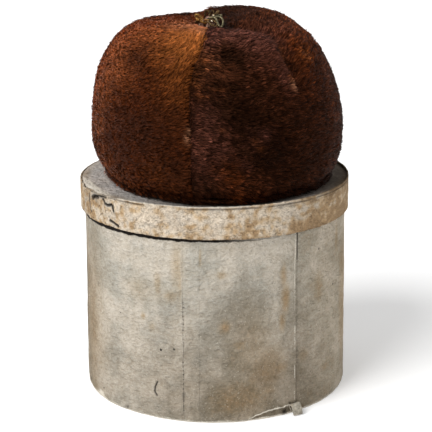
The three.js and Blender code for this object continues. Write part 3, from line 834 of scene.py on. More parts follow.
def along_cracks(azimuth, height, radius, cracks):
    """How near each place lies to a crack, from 0 to 1, and how deep the crack is there."""
    scale = np.array([math.radians(1) * radius / MM, 1.0])
    flat = np.stack([azimuth, height], 1) * scale
    near = [bell(far_from(flat, np.array(crack["points"]) * scale), crack["half_width"])
            for crack in cracks]
    deep = [here * crack["depth"] for here, crack in zip(near, cracks)]
    return np.max(near, axis=0), np.max(deep, axis=0)


def marks_at(azimuth, height, radius, marks, kinds):
    """Strength of each kind of mark at places on a round wall."""
    found = {kind: np.zeros(len(azimuth)) for kind in kinds}
    arc = math.radians(1) * radius / MM
    for mark in marks:
        across = wrapped(azimuth - mark["azimuth"]) * arc / mark["wide"]
        up = (height - mark["height"]) / mark["tall"]
        here = mark["strength"] * np.exp(-(across ** 2 + up ** 2))
        found[mark["kind"]] = np.maximum(found[mark["kind"]], here)
    return found


def refined(bm, *wanted):
    """Splits the edges whose middles are wanted twice over, so that small shapes find room there."""
    for here in wanted * 2:
        edges = [edge for edge in bm.edges if here((edge.verts[0].co + edge.verts[1].co) / 2)]
        bmesh.ops.subdivide_edges(bm, edges=edges, cuts=1, use_grid_fill=True)


def write_marks(piece, masks):
    """Writes the marks of old paper, with none of the kinds that aren't given."""
    for name in PAPER_ATTRIBUTES:
        values = np.broadcast_to(masks.get(name, 0.0), len(piece.data.vertices))
        set_attribute(piece.data, name, values)


LAP_OVERLAP = 13.0  # degrees by which the rolled wall runs under its own end
LAP_SWELL = 70.0  # degrees over which the wall swells up to its outer end
LAP_OPEN = (146 * MM, 160 * MM)  # heights between which the outer end comes unstuck
FOOT_FLARE = 1.9 * MM  # how much wider the wall is at its foot
STITCHES = -13.4  # azimuth of a sewn line up the wall
STRIP_END = -6.7  # azimuth where the strip of paper beside it ends
STITCH = 4.4 * MM  # length of one stitch
GAP_START, GAP_FULL = 174.5, 175.3  # heights in mm where the shadow under the lid's band begins
ARC_OF_DEGREE = math.radians(1) * WALL_RADIUS / MM  # millimetres round the wall in one degree
HIDDEN_ARC = -999.0  # stands for the arc where the wall lies under its lap, so that no line is there
KNEE = (0.90, 0.972)  # share of the sheet's columns that goes to this share of its length


def wall_sheet():
    """A flat grid bent round into the rolled wall, its outer end lapped over its inner one."""
    bm = bmesh.new()
    bmesh.ops.create_grid(bm, x_segments=384, y_segments=66, size=1.0)
    whole = FULL_TURN + LAP_OVERLAP
    for vert in bm.verts:
        share, rise = (vert.co.x + 1) / 2, (vert.co.y + 1) / 2
        turn = np.interp(share, (0, KNEE[0], 1), (0, KNEE[1], 1))
        azimuth = math.radians(LAP_AZIMUTH - whole * (1 - turn))
        from_inner, from_outer = turn * whole, (1 - turn) * whole
        height = WALL_LOW.z + (WALL_HIGH.z - WALL_LOW.z) * rise
        swell = 0.95 * MM * max(0.0, 1 - from_outer / LAP_SWELL)
        tuck = 0.55 * MM * max(0.0, 1 - from_inner / LAP_OVERLAP)
        unstuck = 0.8 * MM * ease(height, *LAP_OPEN) * bell(from_outer, 2.6)
        radius = WALL_RADIUS + swell - tuck + FOOT_FLARE * ease(height, 190 * MM, 0) + unstuck
        vert.co = (radius * math.sin(azimuth), -radius * math.cos(azimuth), height)
    return turned_out(bm)


def from_lap(azimuth):
    """The same direction, counted without a jump from the wall's lapped end round to it again."""
    return azimuth - FULL_TURN * (azimuth > LAP_AZIMUTH + 0.3)


def wall_lines(s):
    """Fine lines on the wall: its sewn line with a strip of paper beside it, the lapped end with painted
    shade in the slit beside it, pin holes, and painted shadow in the gap under the lid's band."""
    arc, height = s.attribute("arc"), s.along("Z")
    drift = (s.noise(60, 3) - 0.5) * 2.2

    def off(azimuth, wobble=1.0):
        return arc + drift * wobble - from_lap(azimuth) * ARC_OF_DEGREE

    def line(distance, half, soft):
        return s.ramp(abs(distance), half + soft, half)

    sewn = off(STITCHES)
    sewn_part = s.ramp(height, 140 * MM, 100 * MM, 0.15, 1.0)
    within = abs(s.math("FRACT", height * (1 / STITCH) + drift) - 0.5)
    hole = s.ramp(within, 0.20, 0.06) * line(sewn, 0.3, 0.5) * s.ramp(s.noise(34, 2), 0.40, 0.52)
    thin = line(sewn, 0.1, 0.5) * sewn_part * 0.13
    second = line(off(STRIP_END), 0.1, 0.6) * s.ramp(height, 110 * MM, 50 * MM) * 0.10
    # Painted shade in the slit beside the lapped end, strongest where the end has come unstuck.
    opened = s.ramp(s.ramp(height, LAP_OPEN[0] - 4 * MM, LAP_OPEN[1]), 0.0, 1.0, 0.16, 1.0)
    slit = line(off(LAP_AZIMUTH + 0.75, 0.0), 0.5, 0.5) * opened
    dark = s.highest(hole * sewn_part * 0.55, thin, second, slit)
    for spot in PIN_HOLES:
        across = arc - from_lap(spot["azimuth"]) * ARC_OF_DEGREE
        up = height * (1 / MM) - spot["height"]
        far = s.math("SQRT", across * across + up * up)
        dark = s.highest(dark, s.ramp(far, spot["radius"] + 0.5, spot["radius"] - 0.4) * spot["dark"])
    # Painted shadow in the gap under the lid's band, following the band's droop.
    hang = s.math("COSINE", arc * (math.radians(1) / ARC_OF_DEGREE) - math.radians(75))
    level = height * (1 / MM) + hang * -1.1 + (s.noise(120, 4, 0.6) - 0.5) * 3.4
    front_end = s.ramp(arc, 27 * ARC_OF_DEGREE, 0.0, 0.12, 1.0)
    back_end = s.ramp(arc, -165 * ARC_OF_DEGREE, -115 * ARC_OF_DEGREE)
    dark = s.highest(dark, s.ramp(level, GAP_START, GAP_FULL) * front_end * back_end)
    frayed = s.ramp(s.noise(90), 0.35, 0.60, 0.15, 0.6)
    lap_lip = line(off(LAP_AZIMUTH - 0.65, 0.25), 0.35, 0.7) * frayed
    sewn_lip = line(sewn + 0.8, 0.3, 0.6) * 0.36
    strip = s.ramp(sewn, 0.0, 0.5) * s.ramp(off(STRIP_END), 0.5, 0.0)
    relief = strip * 0.08 + dark * -0.5 + sewn_lip * 0.25
    return dark, s.highest(lap_lip, sewn_lip), relief


class FURCAP_OT_box_wall(bpy.types.Operator):
    """Make the rolled, paper-covered wall of the hat box"""
    bl_idname = "furcap.box_wall"
    bl_label = "Box wall"

    def execute(self, context):
        box = context.scene.fur_cap_box
        bm = wall_sheet()
        refined(bm, lambda p: -28 < azimuth_of(p) < -23.5 and 18 * MM < p.z < 40 * MM,
                lambda p: 13 < azimuth_of(p) < 33 and p.z < 12 * MM)
        places, azimuth, height, radius, out = around(bm)
        wander = box.dents / MM * noise_at(places, 60, 31, 0.55) + 0.30 * noise_at(places, 20, 32, 1.6)
        wander += 0.12 * noise_at(places, 8, 33, 1.8)
        wander += bell(height, 7) * (0.5 * noise_at(places, 9, 34) - 0.25)
        near, depth = along_cracks(azimuth, height, WALL_RADIUS, WALL_CRACKS)
        lips = bell(depth - 0.45, 0.3) * (depth > 0.1)
        tear = np.interp(azimuth, *FOOT_TEAR) + 0.9 * noise_at(places, 4, 38)
        below = ease(tear - height, 0.0, 0.9)
        tear_width = 0.8 + 0.5 * noise_at(places, 3, 39)
        torn_edge = bell(height - tear - 0.7, tear_width) * ease(tear, 0.5, 3.0)
        wander += 0.25 * lips - depth + 0.9 * torn_edge - 0.7 * below
        moved(bm, out * wander[:, None] * MM)
        masks = marks_at(azimuth, height, WALL_RADIUS, WALL_MARKS, PAPER_ATTRIBUTES)
        masks["dark"] = np.maximum(masks["dark"], near ** 0.7)
        masks["soiled"] = np.maximum(masks["soiled"], 0.35 * bell(height, 14))
        right = ease(azimuth, -5, 60) * ease(azimuth, 150, 90)
        masks["stained"] = np.maximum(1.5 * masks["stained"], 0.46 * right)
        # The paper is drawn darker towards the bottom, less so on the right and at the left front, and
        # paler again on the right.
        right_side = ease(azimuth, 170, 120)
        less_darkened = np.maximum(0.95 * ease(azimuth, 45, 75) * right_side,
                             0.34 * bell(wrapped(azimuth + 45), 24))
        darker_towards_foot = 0.74 * ease(height, 180, 15) ** 0.8 * (1 - less_darkened)
        paler = 0.24 * ease(azimuth, 36, 48) * right_side
        # Painted shade in the recess below the tear at the foot.
        masks["dingy"] = np.maximum(np.maximum(masks["dingy"], darker_towards_foot) - paler, 0.9 * below)
        ragged_foot = 2.0 + 1.6 * noise_at(places, 12, 36)
        masks["rubbed"] = np.maximum.reduce([masks["rubbed"], 0.6 * lips, torn_edge,
                                             0.85 * bell(height, ragged_foot)])
        under_lap = (radius < WALL_RADIUS - 0.2 * MM) & (wrapped(azimuth - LAP_AZIMUTH) < 0)
        masks["arc"] = np.where(under_lap, HIDDEN_ARC, from_lap(azimuth) * ARC_OF_DEGREE)
        bmesh.ops.solidify(bm, geom=bm.faces[:], thickness=WALL_BOARD)
        inside = np.zeros(len(bm.verts) - len(places))
        masks = {name: np.concatenate([values, inside]) for name, values in masks.items()}
        look = paper_material("Box paper", box.paper, box.blue_paper, 0.04, 0.0, wall_lines)
        piece = finished("hat_box_wall", bm, look, "box_paper", "box_wall")
        set_attribute(piece.data, "arc", masks["arc"])
        write_marks(piece, masks)
        return {"FINISHED"}


class FURCAP_OT_box_floor(bpy.types.Operator):
    """Make the bottom disc of the hat box"""
    bl_idname = "furcap.box_floor"
    bl_label = "Box floor"

    def execute(self, context):
        box = context.scene.fur_cap_box
        low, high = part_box("box_floor")
        bm = disc(high.x, low.z, high.z, 6 * MM, 120)
        places, _, _, radius, _ = around(bm)
        moved(bm, raised(0.3 * MM * (noise_at(places, 40, 41) + 1) * ease(radius, high.x, 0.6 * high.x)))
        look = paper_material("Floor paper", box.paper, box.band_paper, 0.3, 0.3)
        write_marks(finished("hat_box_floor", bm, look, "box_paper", "box_floor"), {"stained": 0.3})
        return {"FINISHED"}


# Section of the curled tab: distance from the box's axis and height, in millimetres.
TAB_SECTION = ((129.6, 9.4), (131.2, 10.3), (133.4, 10.2), (135.6, 8.6), (137.4, 6.2), (138.4, 3.6),
               (138.4, 1.4), (137.2, 0.5))
TAB_AZIMUTHS = (31.6, 36.4)
TAB_PAPER = 0.7 * MM


class FURCAP_OT_torn_tab(bpy.types.Operator):
    """Make the curled tab of torn paper at the wall's foot"""
    bl_idname = "furcap.torn_tab"
    bl_label = "Torn tab"

    def execute(self, context):
        box = context.scene.fur_cap_box
        bm = bmesh.new()
        bmesh.ops.create_grid(bm, x_segments=16, y_segments=len(TAB_SECTION) * 3, size=1.0)
        stations = np.arange(len(TAB_SECTION))
        radii, heights = np.array(TAB_SECTION).T
        for vert in bm.verts:
            share, along = (vert.co.x + 1) / 2, (vert.co.y + 1) / 2
            at = along * (len(TAB_SECTION) - 1)
            narrowing = 0.10 * along * (1 - 2 * share) + 0.05 * math.sin(7 * along)
            turn = TAB_AZIMUTHS[0] + (TAB_AZIMUTHS[1] - TAB_AZIMUTHS[0]) * (share + narrowing)
            turn = math.radians(turn)
            radius = np.interp(at, stations, radii) + 1.3 * along * (share - 0.3)
            height = np.interp(at, stations, heights) + 0.7 * (share - 0.5) * (1 - along)
            vert.co = (radius * MM * math.sin(turn), -radius * MM * math.cos(turn), height * MM)
        places = around(bm)[0]
        wrinkles = 0.35 * noise_at(places, 3.5, 45) + 0.25 * noise_at(places, 1.6, 46)
        moved(bm, np.array([0.5, -0.8, 0.25]) * wrinkles[:, None] * MM)
        bmesh.ops.solidify(turned_out(bm), geom=bm.faces[:], thickness=TAB_PAPER)
        look = paper_material("Torn paper", box.worn, box.blue_paper, 0.1, 0.4)
        write_marks(finished("torn_tab", bm, look, "box_paper"),
                    {"stained": 0.1, "dingy": 0.35, "rubbed": 0.25})
        return {"FINISHED"}


class FURCAP_OT_lid_panel(bpy.types.Operator):
    """Make the lid's grey paper-covered disc"""
    bl_idname = "furcap.lid_panel"
    bl_label = "Lid panel"

    def execute(self, context):
        bm = disc(LID_RADIUS + 0.2 * MM, LID_LOW.z, LID_TOP, 3.2 * MM, 200)
        places, azimuth, _, radius, _ = around(bm)
        wavy = 0.5 * noise_at(places, 28, 51) + 0.25 * noise_at(places, 9, 52)
        radius = radius / MM
        moved(bm, raised(ease(radius, 112, 117) * wavy * 0.6 * MM))
        look = paper_material("Lid paper", context.scene.fur_cap_box.lid_paper, (0.42, 0.41, 0.41),
                              0.2, 0.05)
        # Painted shade: the right of the lid is drawn darker, partly as the cap's shadow and partly as
        # grime; its front beside the cap is darkened as painted shade, and so is a dark line in the corner
        # where the panel meets the band.
        right = bell(wrapped(azimuth - 80), 45)
        worn_left = bell(wrapped(azimuth + 68), 24) * bell(radius - 126, 8)
        cap_shade = bell(wrapped(azimuth - 8), 40) * ease(radius, 126, 119)
        corner_shade = bell(radius - 129.3, 0.8) * ease(azimuth, -60, 20) * ease(azimuth, 175, 120)
        write_marks(finished("lid_top", bm, look, "lid_paper", "lid_panel"), {
            "stained": 0.35 * bell(radius - 128, 5) + 0.15 * noise_at(places, 30, 53)
            + 0.3 * bell(wrapped(azimuth - 80), 40) + 0.55 * worn_left,
            "soiled": np.maximum(0.2 + 0.5 * right, 0.9 * bell(wrapped(azimuth - 12), 42)),
            "dingy": 0.15 + 0.6 * right,
            "dark": np.maximum(0.3 * corner_shade, 0.8 * cap_shade),
            "rubbed": 0.85 * worn_left,
        })
        return {"FINISHED"}


def band_lines(s):
    """A pale worn line along the band's top edge, with a fine brown one under it."""
    below_top = BAND_HIGH.z - (s.along("Z") + (s.noise(55, 3) - 0.5) * (1.6 * MM))
    under = s.ramp(abs(below_top - 2.3 * MM), 1.1 * MM, 0.3 * MM)
    dark = under * s.ramp(s.noise(40, 3), 0.38, 0.54) * 0.62
    edge = s.ramp(below_top, 1.3 * MM, 0.7 * MM) * s.ramp(s.along("X"), 10 * MM, 80 * MM, 0.62, 0.12)
    return dark, edge, dark * -0.4


BAND_LIFT = 1.1 * MM  # how much higher the band's lower edge is than its solid's, before it droops


class FURCAP_OT_lid_band(bpy.types.Operator):
    """Make the lid's slip-over band, worn all round and torn at its left"""
    bl_idname = "furcap.lid_band"
    bl_label = "Lid band"

    def execute(self, context):
        inner = BAND_OUTER - BAND_BOARD
        low, high = BAND_LOW.z + BAND_LIFT, BAND_HIGH.z
        corners = [(inner, low), (BAND_OUTER - 0.25 * MM, low), (BAND_OUTER, low + 0.5 * MM),
                   (BAND_OUTER, high - 0.5 * MM), (BAND_OUTER - 0.4 * MM, high), (inner, high)]
        bm = spun(fine_outline(corners, 1.35 * MM), 480)
        refined(bm, lambda p: -66 < azimuth_of(p) < -40 and math.hypot(p.x, p.y) > inner + 0.4 * MM)
        places, azimuth, height, radius, out = around(bm)
        wander = 0.45 * noise_at(places, 45, 61, 0.4) + 0.22 * noise_at(places, 12, 62)
        wander += 0.10 * noise_at(places, 4, 63)
        torn = ease(azimuth, -84, -70) * ease(azimuth, -36, -48)
        crumple = (noise_at(places, 11, 64) + 0.6 * noise_at(places, 5, 65)) * torn
        near, depth = along_cracks(azimuth, height, BAND_OUTER, BAND_CRACKS)
        outside = ease(radius, inner + 0.2 * MM, BAND_OUTER - 0.3 * MM)
        lips = bell(depth - 0.7, 0.5) * (depth > 0.1)
        wander += 1.25 * crumple + outside * (0.5 * lips - 0.55 * depth)
        top = bell(height - high / MM, 2.0)
        lower = bell(height - low / MM, 2.0)
        droop = 1.1 * (np.cos(np.radians(azimuth - 75)) - 1)
        frayed = 0.45 * noise_at(places, 3.5, 66) - 0.15 - torn * (1.3 + 1.6 * noise_at(places, 9, 68))
        frayed = top * (frayed - 2.1 * bell(wrapped(azimuth + 105), 42) + 2.2 * bell(azimuth + 73.2, 1.3))
        frayed += lower * (0.5 * noise_at(places, 5, 67) - droop)
        moved(bm, (out * wander[:, None] + raised(frayed)) * MM)
        blotch, fine = noise_at(places, 16, 69), noise_at(places, 5, 72)
        back = ease(azimuth, 175, 130)
        right = ease(azimuth, 24, 52) * back
        left_end = ease(azimuth, -38, -66) * ease(azimuth, -150, -95)
        under_top = bell(height - high / MM + 4.2 + 0.8 * blotch, 1.1) * ease(azimuth, 8, 30) * back
        flecks = ease(noise_at(places, 2.6, 75), 0.35, 0.6) * bell(wrapped(azimuth + 55), 9)
        low_stain = bell(height - low / MM, 11) * ease(azimuth, -22, 20) * back
        bare = ease(noise_at(places, 8, 74), 0.05, 0.45) * (1 - right) * (1 - 0.3 * left_end)
        look = paper_material("Band paper", context.scene.fur_cap_box.band_paper, (0.68, 0.60, 0.51),
                              0.06, 0.45, band_lines)
        # The band's lower edge is drawn darker and grimier, partly as painted shade on its underside.
        write_marks(finished("lid_band", bm, look, "rim_paper", "lid_rim"), {
            "stained": np.clip(0.30 + 0.62 * blotch + 0.86 * fine + 0.60 * right + 0.34 * left_end
                               - 0.35 * bell(azimuth - 29, 8) + 0.62 * low_stain, 0, 1.4),
            "soiled": 0.20 + 0.12 * right + 0.35 * lower,
            "dingy": 0.06 + 0.36 * left_end + 0.3 * lower + 0.3 * noise_at(places, 22, 73),
            "dark": np.maximum.reduce([
                outside * near ** 0.35 * (depth > 0.2), 0.75 * flecks * outside, 0.45 * top * right,
                0.55 * under_top * (0.6 + 0.8 * noise_at(places, 8, 71))]),
            "rubbed": np.maximum.reduce([
                0.45 * top * (1 - 0.8 * right) * (0.8 + 0.6 * noise_at(places, 5, 70)), 0.46 * bare,
                0.5 * lips * outside + 0.35 * torn * (crumple > 0.2)]),
        })
        return {"FINISHED"}


# ---- the gold ornament ----
# Loops of coiled wire: azimuth where each leaves the core, height of that point over the core's foot,
# reach and rise to its tip, half width, outer radius of the coil, all in millimetres, and its turn.
LOOPS = table("node azimuth attach reach rise half coil turn gold", [
    ("loop_left", -102, 6.6, 7.2, 4.4, 3.3, 1.25, 60, "warm"),
    ("loop_right", 13, 9, 25.5, -2.6, 3.5, 0.75, 0, "bronze"),
    ("loop_back_left", 186, 7.2, 5.2, 7.5, 2.4, 1.2, 0, "bronze"),
    ("loop_back_right", 112, 8.7, 6, 6, 2.4, 1.2, 0, "bronze"),
    ("loop_front", -46, 5.6, 6.4, 2.2, 3.2, 1.1, -12, "warm"),
])
# Smaller loops sewn in among them, measured in the same way; a bow shifts the middle of a loop.
SMALL_LOOPS = table("azimuth attach reach rise half coil turn gold bow", [
    (-92, 4.4, 7.6, 1.0, 2.8, 0.9, 20, "bronze"), (-108, 7.5, 4.6, 4.4, 1.7, 0.9, 60, "warm"),
    (-70, 6.0, 6.4, 2.4, 2.2, 0.8, 40, "warm"), (-84, 3.2, 5.0, 0.0, 3.0, 0.9, 10, "bronze"),
    (40, 8.4, 8.0, 0.4, 2.2, 0.8, 25, "bronze"), (84, 7.6, 7.5, 1.5, 2.0, 0.8, 50, "bronze"),
    (14, 8.8, 27.0, -3.0, 4.5, 0.55, 4, "bronze"), (150, 9.0, 4.2, 6.2, 1.9, 0.9, 10, "bronze"),
    (20, 9.0, 29.0, -3.8, 3.4, 1.05, 0, "pale", (2.6, 2.0, 4.5)),
    (62, 9.6, 9.5, 2.6, 2.2, 0.95, 30, "pale"), (-10, 7.2, 5.0, 1.6, 2.4, 0.8, 0, "warm"),
])
CORE_RADIUS, CORE_SHANK = 4.0 * MM, 2.8 * MM  # radii of the core over the fur and in it
LOOP_START = 4.5 * MM  # how far from the core's axis a loop's ends lie
WIRE_HALF = 0.2  # what the wire's thickness takes off a coil's radius, in mm
SILK_THREADS = 34
SPANGLE_TURN = -17  # degrees by which every spangle leans to the left
# Spangles: place from the core's foot and radius in millimetres, and how far each tips back.
SPANGLES = table("x y z radius tip gold", [
    (3.2, -9.6, 7.8, 1.4, 56, "bright"), (4.8, -5.4, 12.4, 1.2, 56, "bright"),
    (-7.2, -5.2, 11.0, 1.1, 50, "warm"), (-2.6, -7.8, 7.4, 0.8, 46, "warm"),
    (-0.8, -8.2, 6.2, 0.7, 52, "warm"), (-10.8, -3.4, 9.6, 0.9, 46, "warm"),
    (7.5, -9.5, 10.4, 0.7, 40, "warm"),
])
UP = np.array([0.0, 0.0, 1.0])


def outward_at(azimuth):
    """A level direction by its azimuth in radians."""
    return np.array([math.sin(azimuth), -math.cos(azimuth), 0.0])


def from_core(outward, up):
    """A place by its distances in metres from the core's axis and over its foot."""
    return np.array([CORE_AXIS.x, CORE_AXIS.y, CORE_FOOT]) + outward + UP * up


def loop_route(loop, steps):
    """Points along one loop of coiled wire: out from the core, round its tip and back."""
    outward, turn = outward_at(math.radians(loop["azimuth"])), math.radians(loop["turn"])
    across = np.cross(UP, outward) * math.cos(turn) + UP * math.sin(turn)
    root = from_core(outward * LOOP_START, loop["attach"] * MM)
    angle = np.linspace(0, math.pi, steps)
    along = np.sin(angle) ** 0.8
    sideways = -1.4 * np.cos(angle) * (0.45 + 0.55 * np.sin(angle))
    bow = np.outer(4 * along * (1 - along), loop.get("bow", (0, 0, 0)))
    return root + MM * (bow + np.outer(along, outward * loop["reach"] + UP * loop["rise"])
                        + np.outer(sideways, across * loop["half"]))


def sides_along(route):
    """Two unit vectors square to a route, and to each other, at each of its points."""
    tangent = unit(np.gradient(route, axis=0))
    side = np.empty_like(route)
    side[0] = np.cross(tangent[0], [0.3, 0.2, 0.93])
    for i in range(1, len(route)):
        side[i] = side[i - 1] - tangent[i] * (side[i - 1] @ tangent[i])
        side[i] /= np.linalg.norm(side[i])
    side[0] /= np.linalg.norm(side[0])
    return side, np.cross(tangent, side)


def tube(bm, route, radius, corners=5):
    """Adds a wire along a route, with closed ends."""
    angle = np.linspace(0, math.tau, corners, endpoint=False)
    rings = []
    for place, a, b in zip(route, *sides_along(route)):
        ring = place + radius * (np.outer(np.cos(angle), a) + np.outer(np.sin(angle), b))
        rings.append([bm.verts.new(p) for p in ring])
    for here, there in zip(rings, rings[1:]):
        for i in range(corners):
            after = (i + 1) % corners
            bm.faces.new((here[i], here[after], there[after], there[i]))
    bm.faces.new(rings[0][::-1])
    bm.faces.new(rings[-1])


def coil(bm, loop, steps, wire, spacing, per_turn=9):
    """Adds a wire coiled round the route of a loop, its turns spaced by this many wires."""
    route = loop_route(loop, steps)
    lengths = np.concatenate([[0], np.cumsum(np.linalg.norm(np.diff(route, axis=0), axis=1))])
    turns = int(lengths[-1] / (wire * spacing))
    share = np.linspace(0, lengths[-1], turns * per_turn + 1)
    even = np.stack([np.interp(share, lengths, route[:, i]) for i in range(3)], 1)
    side, other = sides_along(even)
    angle = np.linspace(0, math.tau * turns, len(share))[:, None]
    around_route = side * np.cos(angle) + other * np.sin(angle)
    tube(bm, even + (loop["coil"] - WIRE_HALF) * MM * around_route, wire / 2)


def gold_material(name, metal, shade):
    s = Finish(name)
    tarnish = s.noise(330, 4, 0.6)
    return s.surface({"Base Color": s.mix(s.ramp(tarnish, 0.40, 0.60), metal, shade),
                      "Roughness": s.ramp(tarnish, 0.3, 0.7, 0.22, 0.5),
                      "Metallic": s.ramp(tarnish, 0.35, 0.8, 1.0, 0.75)})


class FURCAP_OT_ornament(bpy.types.Operator):
    """Make the gold ornament: a thread-wound core, loops of coiled wire and spangles"""
    bl_idname = "furcap.ornament"
    bl_label = "Gold ornament"

    def execute(self, context):
        gold = context.scene.fur_cap_gold
        looks = {
            "warm": gold_material("Warm gold wire", gold.warm_gold, (0.12, 0.045, 0.012)),
            "pale": gold_material("Pale gold wire", gold.pale_gold, (0.10, 0.09, 0.05)),
            "bronze": gold_material("Blackened wire", (0.22, 0.13, 0.05), (0.05, 0.03, 0.015)),
            "bright": gold_material("Bright gold", (0.98, 0.86, 0.66), (0.80, 0.55, 0.25)),
        }
        for loop in LOOPS:
            self.loops(gold, [loop], f"gold_{loop['node']}", looks[loop["gold"]], 60, 1.25, loop["node"])
        for kind in ("warm", "pale", "bronze"):
            loops = [loop for loop in SMALL_LOOPS if loop["gold"] == kind]
            self.loops(gold, loops, f"gold_small_{kind}", looks[kind], 40, 1.3)
        self.core(gold)
        self.threads()
        for kind in ("bright", "warm"):
            self.spangles(kind, looks[kind])
        return {"FINISHED"}

    def loops(self, gold, loops, name, look, steps, spacing, *replaced):
        """One piece of one or more loops of coiled wire."""
        bm = bmesh.new()
        for loop in loops:
            coil(bm, loop, steps, gold.wire, spacing)
        bmesh.ops.recalc_face_normals(bm, faces=bm.faces)
        finished(name, bm, look, "gold_wire", *replaced)

    def core(self, gold):
        """The core, wound with thread, on its shank."""
        low, high = CORE_LOW.z, CORE_HIGH.z
        outline = [(0, low), (CORE_SHANK, low), (CORE_SHANK, CORE_FOOT - 3 * MM),
                   (CORE_RADIUS, CORE_FOOT)]
        for angle in np.linspace(0, math.pi / 2, 15)[1:-1]:
            outline.append((CORE_RADIUS * math.cos(angle) ** 0.8,
                            CORE_FOOT + (high - CORE_FOOT) * math.sin(angle)))
        bm = spun(outline + [(0, high)], 48, closes=False)
        places, azimuth, _, _, out = around(bm)
        ridges = 0.22 * np.sin(16 * np.radians(azimuth) + places[:, 2] * 900) * (places[:, 2] > CORE_FOOT)
        moved(bm, out * (ridges * MM)[:, None] + np.array([CORE_AXIS.x, CORE_AXIS.y, 0]))
        s = Finish("Silk thread")
        strand = s.noise(1500, 3, 0.6, 0, (1, 1, 0.3))
        silk = s.mix(s.ramp(strand, 0.35, 0.65), (0.09, 0.04, 0.02), gold.thread)
        look = s.surface({"Base Color": s.mix(s.attribute("wound"), (0.02, 0.008, 0.004), silk),
                          "Roughness": s.ramp(strand, 0.3, 0.7, 0.7, 0.45),
                          "Normal": s.bump(strand, 0.8, 0.4 * MM)})
        piece = finished("gold_core", bm, look, "gold_thread", "ornament_core")
        set_attribute(piece.data, "wound", ease(places[:, 2], CORE_FOOT + 1 * MM, CORE_FOOT + 6 * MM))

    def threads(self):
        """Loose silk threads that spread from the core over the fur in front of it."""
        rng = np.random.default_rng(91)
        bm = bmesh.new()
        share = np.linspace(0, 1, 9)[:, None]
        for _ in range(SILK_THREADS):
            outward = outward_at(math.radians(rng.uniform(-105, 75)))
            side = np.array([outward[1], -outward[0], 0.0])
            reach = rng.uniform(3.0, 8.5)
            start = rng.uniform(4.5, 9.0)
            rise = start + np.sin(share * math.pi) * rng.uniform(0.6, 2.2) - (start - 0.6) * share ** 1.4
            away = outward * (3.6 + reach * share) + side * rng.normal(0, 1.6) * share ** 2
            tube(bm, from_core(away * MM, rise * MM), rng.uniform(0.16, 0.30) * MM)
        bmesh.ops.recalc_face_normals(bm, faces=bm.faces)
        s = Finish("Loose silk")
        tint = s.noise(380, 2, 0.5)
        pale = s.mix(s.ramp(tint, 0.38, 0.62), (0.20, 0.08, 0.045), (0.62, 0.38, 0.26))
        look = s.surface({"Base Color": pale, "Roughness": s.ramp(tint, 0.3, 0.7, 0.6, 0.4),
                          "Normal": s.bump(s.noise(4000, 2), 0.5, 0.1 * MM)})
        finished("silk_threads", bm, look, "gold_thread")

    def spangles(self, kind, look):
        """Small cupped discs sewn on among the loops."""
        bm = bmesh.new()
        for spangle in (one for one in SPANGLES if one["gold"] == kind):
            across = np.array([spangle["x"], spangle["y"], 0]) * MM
            place = Matrix.Translation(from_core(across, spangle["z"] * MM))
            tilt = Matrix.Rotation(math.radians(spangle["tip"]), 4, "X")
            tilt = tilt @ Matrix.Rotation(math.radians(SPANGLE_TURN), 4, "Y")
            radius = spangle["radius"] * MM
            bmesh.ops.create_cone(bm, cap_ends=True, segments=16, radius1=radius * 0.75,
                                  radius2=radius, depth=0.5 * MM, matrix=place @ tilt)
        finished(f"gold_spangles_{kind}", bm, look, "gold_wire")


# ---- the stage ----
KEY_PLACE, KEY_AIM, KEY_SPREAD = Vector((-1.5, -1.35, 2.1)), Vector((0, 0, 0.18)), 34  # metres, degrees
CAMERA_PLACE = (0.0011, -1.330, 0.545)
CAMERA_DIP, CAMERA_ROLL = 16.02, -0.36  # degrees below level, and about its own axis
CAMERA_LENS, CAMERA_SENSOR = 116.8, 36.0  # millimetres
FLOOR_HALF = 60.0  # metres, so that its far edge never shows
SKY_SEEN = 0.97  # brightness of the white behind the object


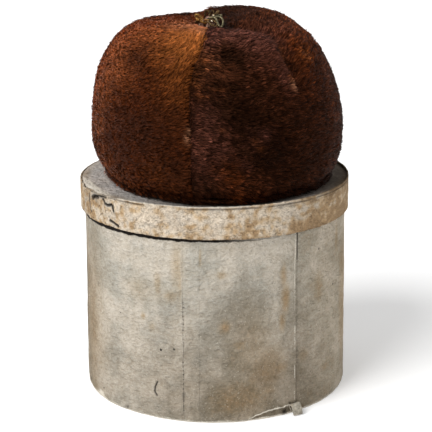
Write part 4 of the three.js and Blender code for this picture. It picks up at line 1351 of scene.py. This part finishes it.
class FURCAP_OT_stage(bpy.types.Operator):
    """Make the pale floor, the soft studio light and the camera"""
    bl_idname = "furcap.stage"
    bl_label = "Stage"

    def execute(self, context):
        stage = context.scene.fur_cap_stage
        bm = bmesh.new()
        bmesh.ops.create_grid(bm, x_segments=1, y_segments=1, size=FLOOR_HALF)
        floor = placed("floor", mesh_of("floor", bm))
        s = Finish("Pale floor")
        low = [c * 0.99 for c in stage.floor]
        floor.data.materials.append(s.surface({
            "Base Color": s.mix(s.noise(2, 2, 0.5), low, stage.floor[:]), "Roughness": 0.9,
            "Specular IOR Level": 0.0, "Emission Color": (1, 1, 1), "Emission Strength": 0.22}))
        world = bpy.data.worlds.new("studio")
        world.use_nodes = True
        background = world.node_tree.nodes["Background"].inputs
        sky = Shader(world.node_tree)
        sky.feed(background["Color"], (1, 1, 1))
        seen = sky.out("ShaderNodeLightPath", output="Is Camera Ray")
        sky.feed(background["Strength"], sky.ramp(seen, 0.0, 1.0, stage.fill, SKY_SEEN))
        context.scene.world = world
        light = bpy.data.lights.new("key", "SUN")
        light.energy = stage.key
        light.angle = math.radians(KEY_SPREAD)
        lamp = placed("key", light)
        lamp.location = KEY_PLACE
        lamp.rotation_euler = (KEY_AIM - KEY_PLACE).to_track_quat("-Z", "Y").to_euler()
        lens = bpy.data.cameras.new("camera")
        lens.sensor_width, lens.lens = CAMERA_SENSOR, CAMERA_LENS
        lens.clip_start, lens.clip_end = 0.05, 300.0
        camera = placed("camera", lens)
        camera.matrix_world = (Matrix.Translation(CAMERA_PLACE)
                               @ Matrix.Rotation(math.radians(90 - CAMERA_DIP), 4, "X")
                               @ Matrix.Rotation(math.radians(CAMERA_ROLL), 4, "Z"))
        context.scene.camera = camera
        context.scene.view_settings.view_transform = "Standard"
        return {"FINISHED"}


class FURCAP_PT_panel(bpy.types.Panel):
    """Buttons that make the cap, its box and the stage"""
    bl_idname = "FURCAP_PT_panel"
    bl_label = "Fur Cap"
    bl_space_type = "VIEW_3D"
    bl_region_type = "UI"
    bl_category = "Fur Cap"

    def draw(self, context):
        for operator in OPERATORS:
            self.layout.operator(operator.bl_idname)
        for name in GROUPS:
            group = getattr(context.scene, name)
            box = self.layout.box()
            for key in group.__annotations__:
                box.prop(group, key)


OPERATORS = [FURCAP_OT_stage, FURCAP_OT_box_wall, FURCAP_OT_box_floor, FURCAP_OT_torn_tab,
             FURCAP_OT_lid_panel, FURCAP_OT_lid_band, FURCAP_OT_pelts, FURCAP_OT_ornament]
GROUPS = {"fur_cap_fur": FurSettings, "fur_cap_box": BoxSettings, "fur_cap_gold": OrnamentSettings,
          "fur_cap_stage": StageSettings}


def register():
    for made in [*GROUPS.values(), *OPERATORS, FURCAP_PT_panel]:
        bpy.utils.register_class(made)
    for name, group in GROUPS.items():
        setattr(bpy.types.Scene, name, PointerProperty(type=group))


def unregister():
    for name in GROUPS:
        delattr(bpy.types.Scene, name)
    for made in [FURCAP_PT_panel, *reversed(OPERATORS), *GROUPS.values()]:
        bpy.utils.unregister_class(made)


def main():
    register()
    bpy.ops.furcap.stage()
    bpy.ops.furcap.box_wall()
    bpy.ops.furcap.box_floor()
    bpy.ops.furcap.torn_tab()
    bpy.ops.furcap.lid_panel()
    bpy.ops.furcap.lid_band()
    bpy.ops.furcap.pelts()
    bpy.ops.furcap.ornament()


if __name__ == "__main__":
    main()
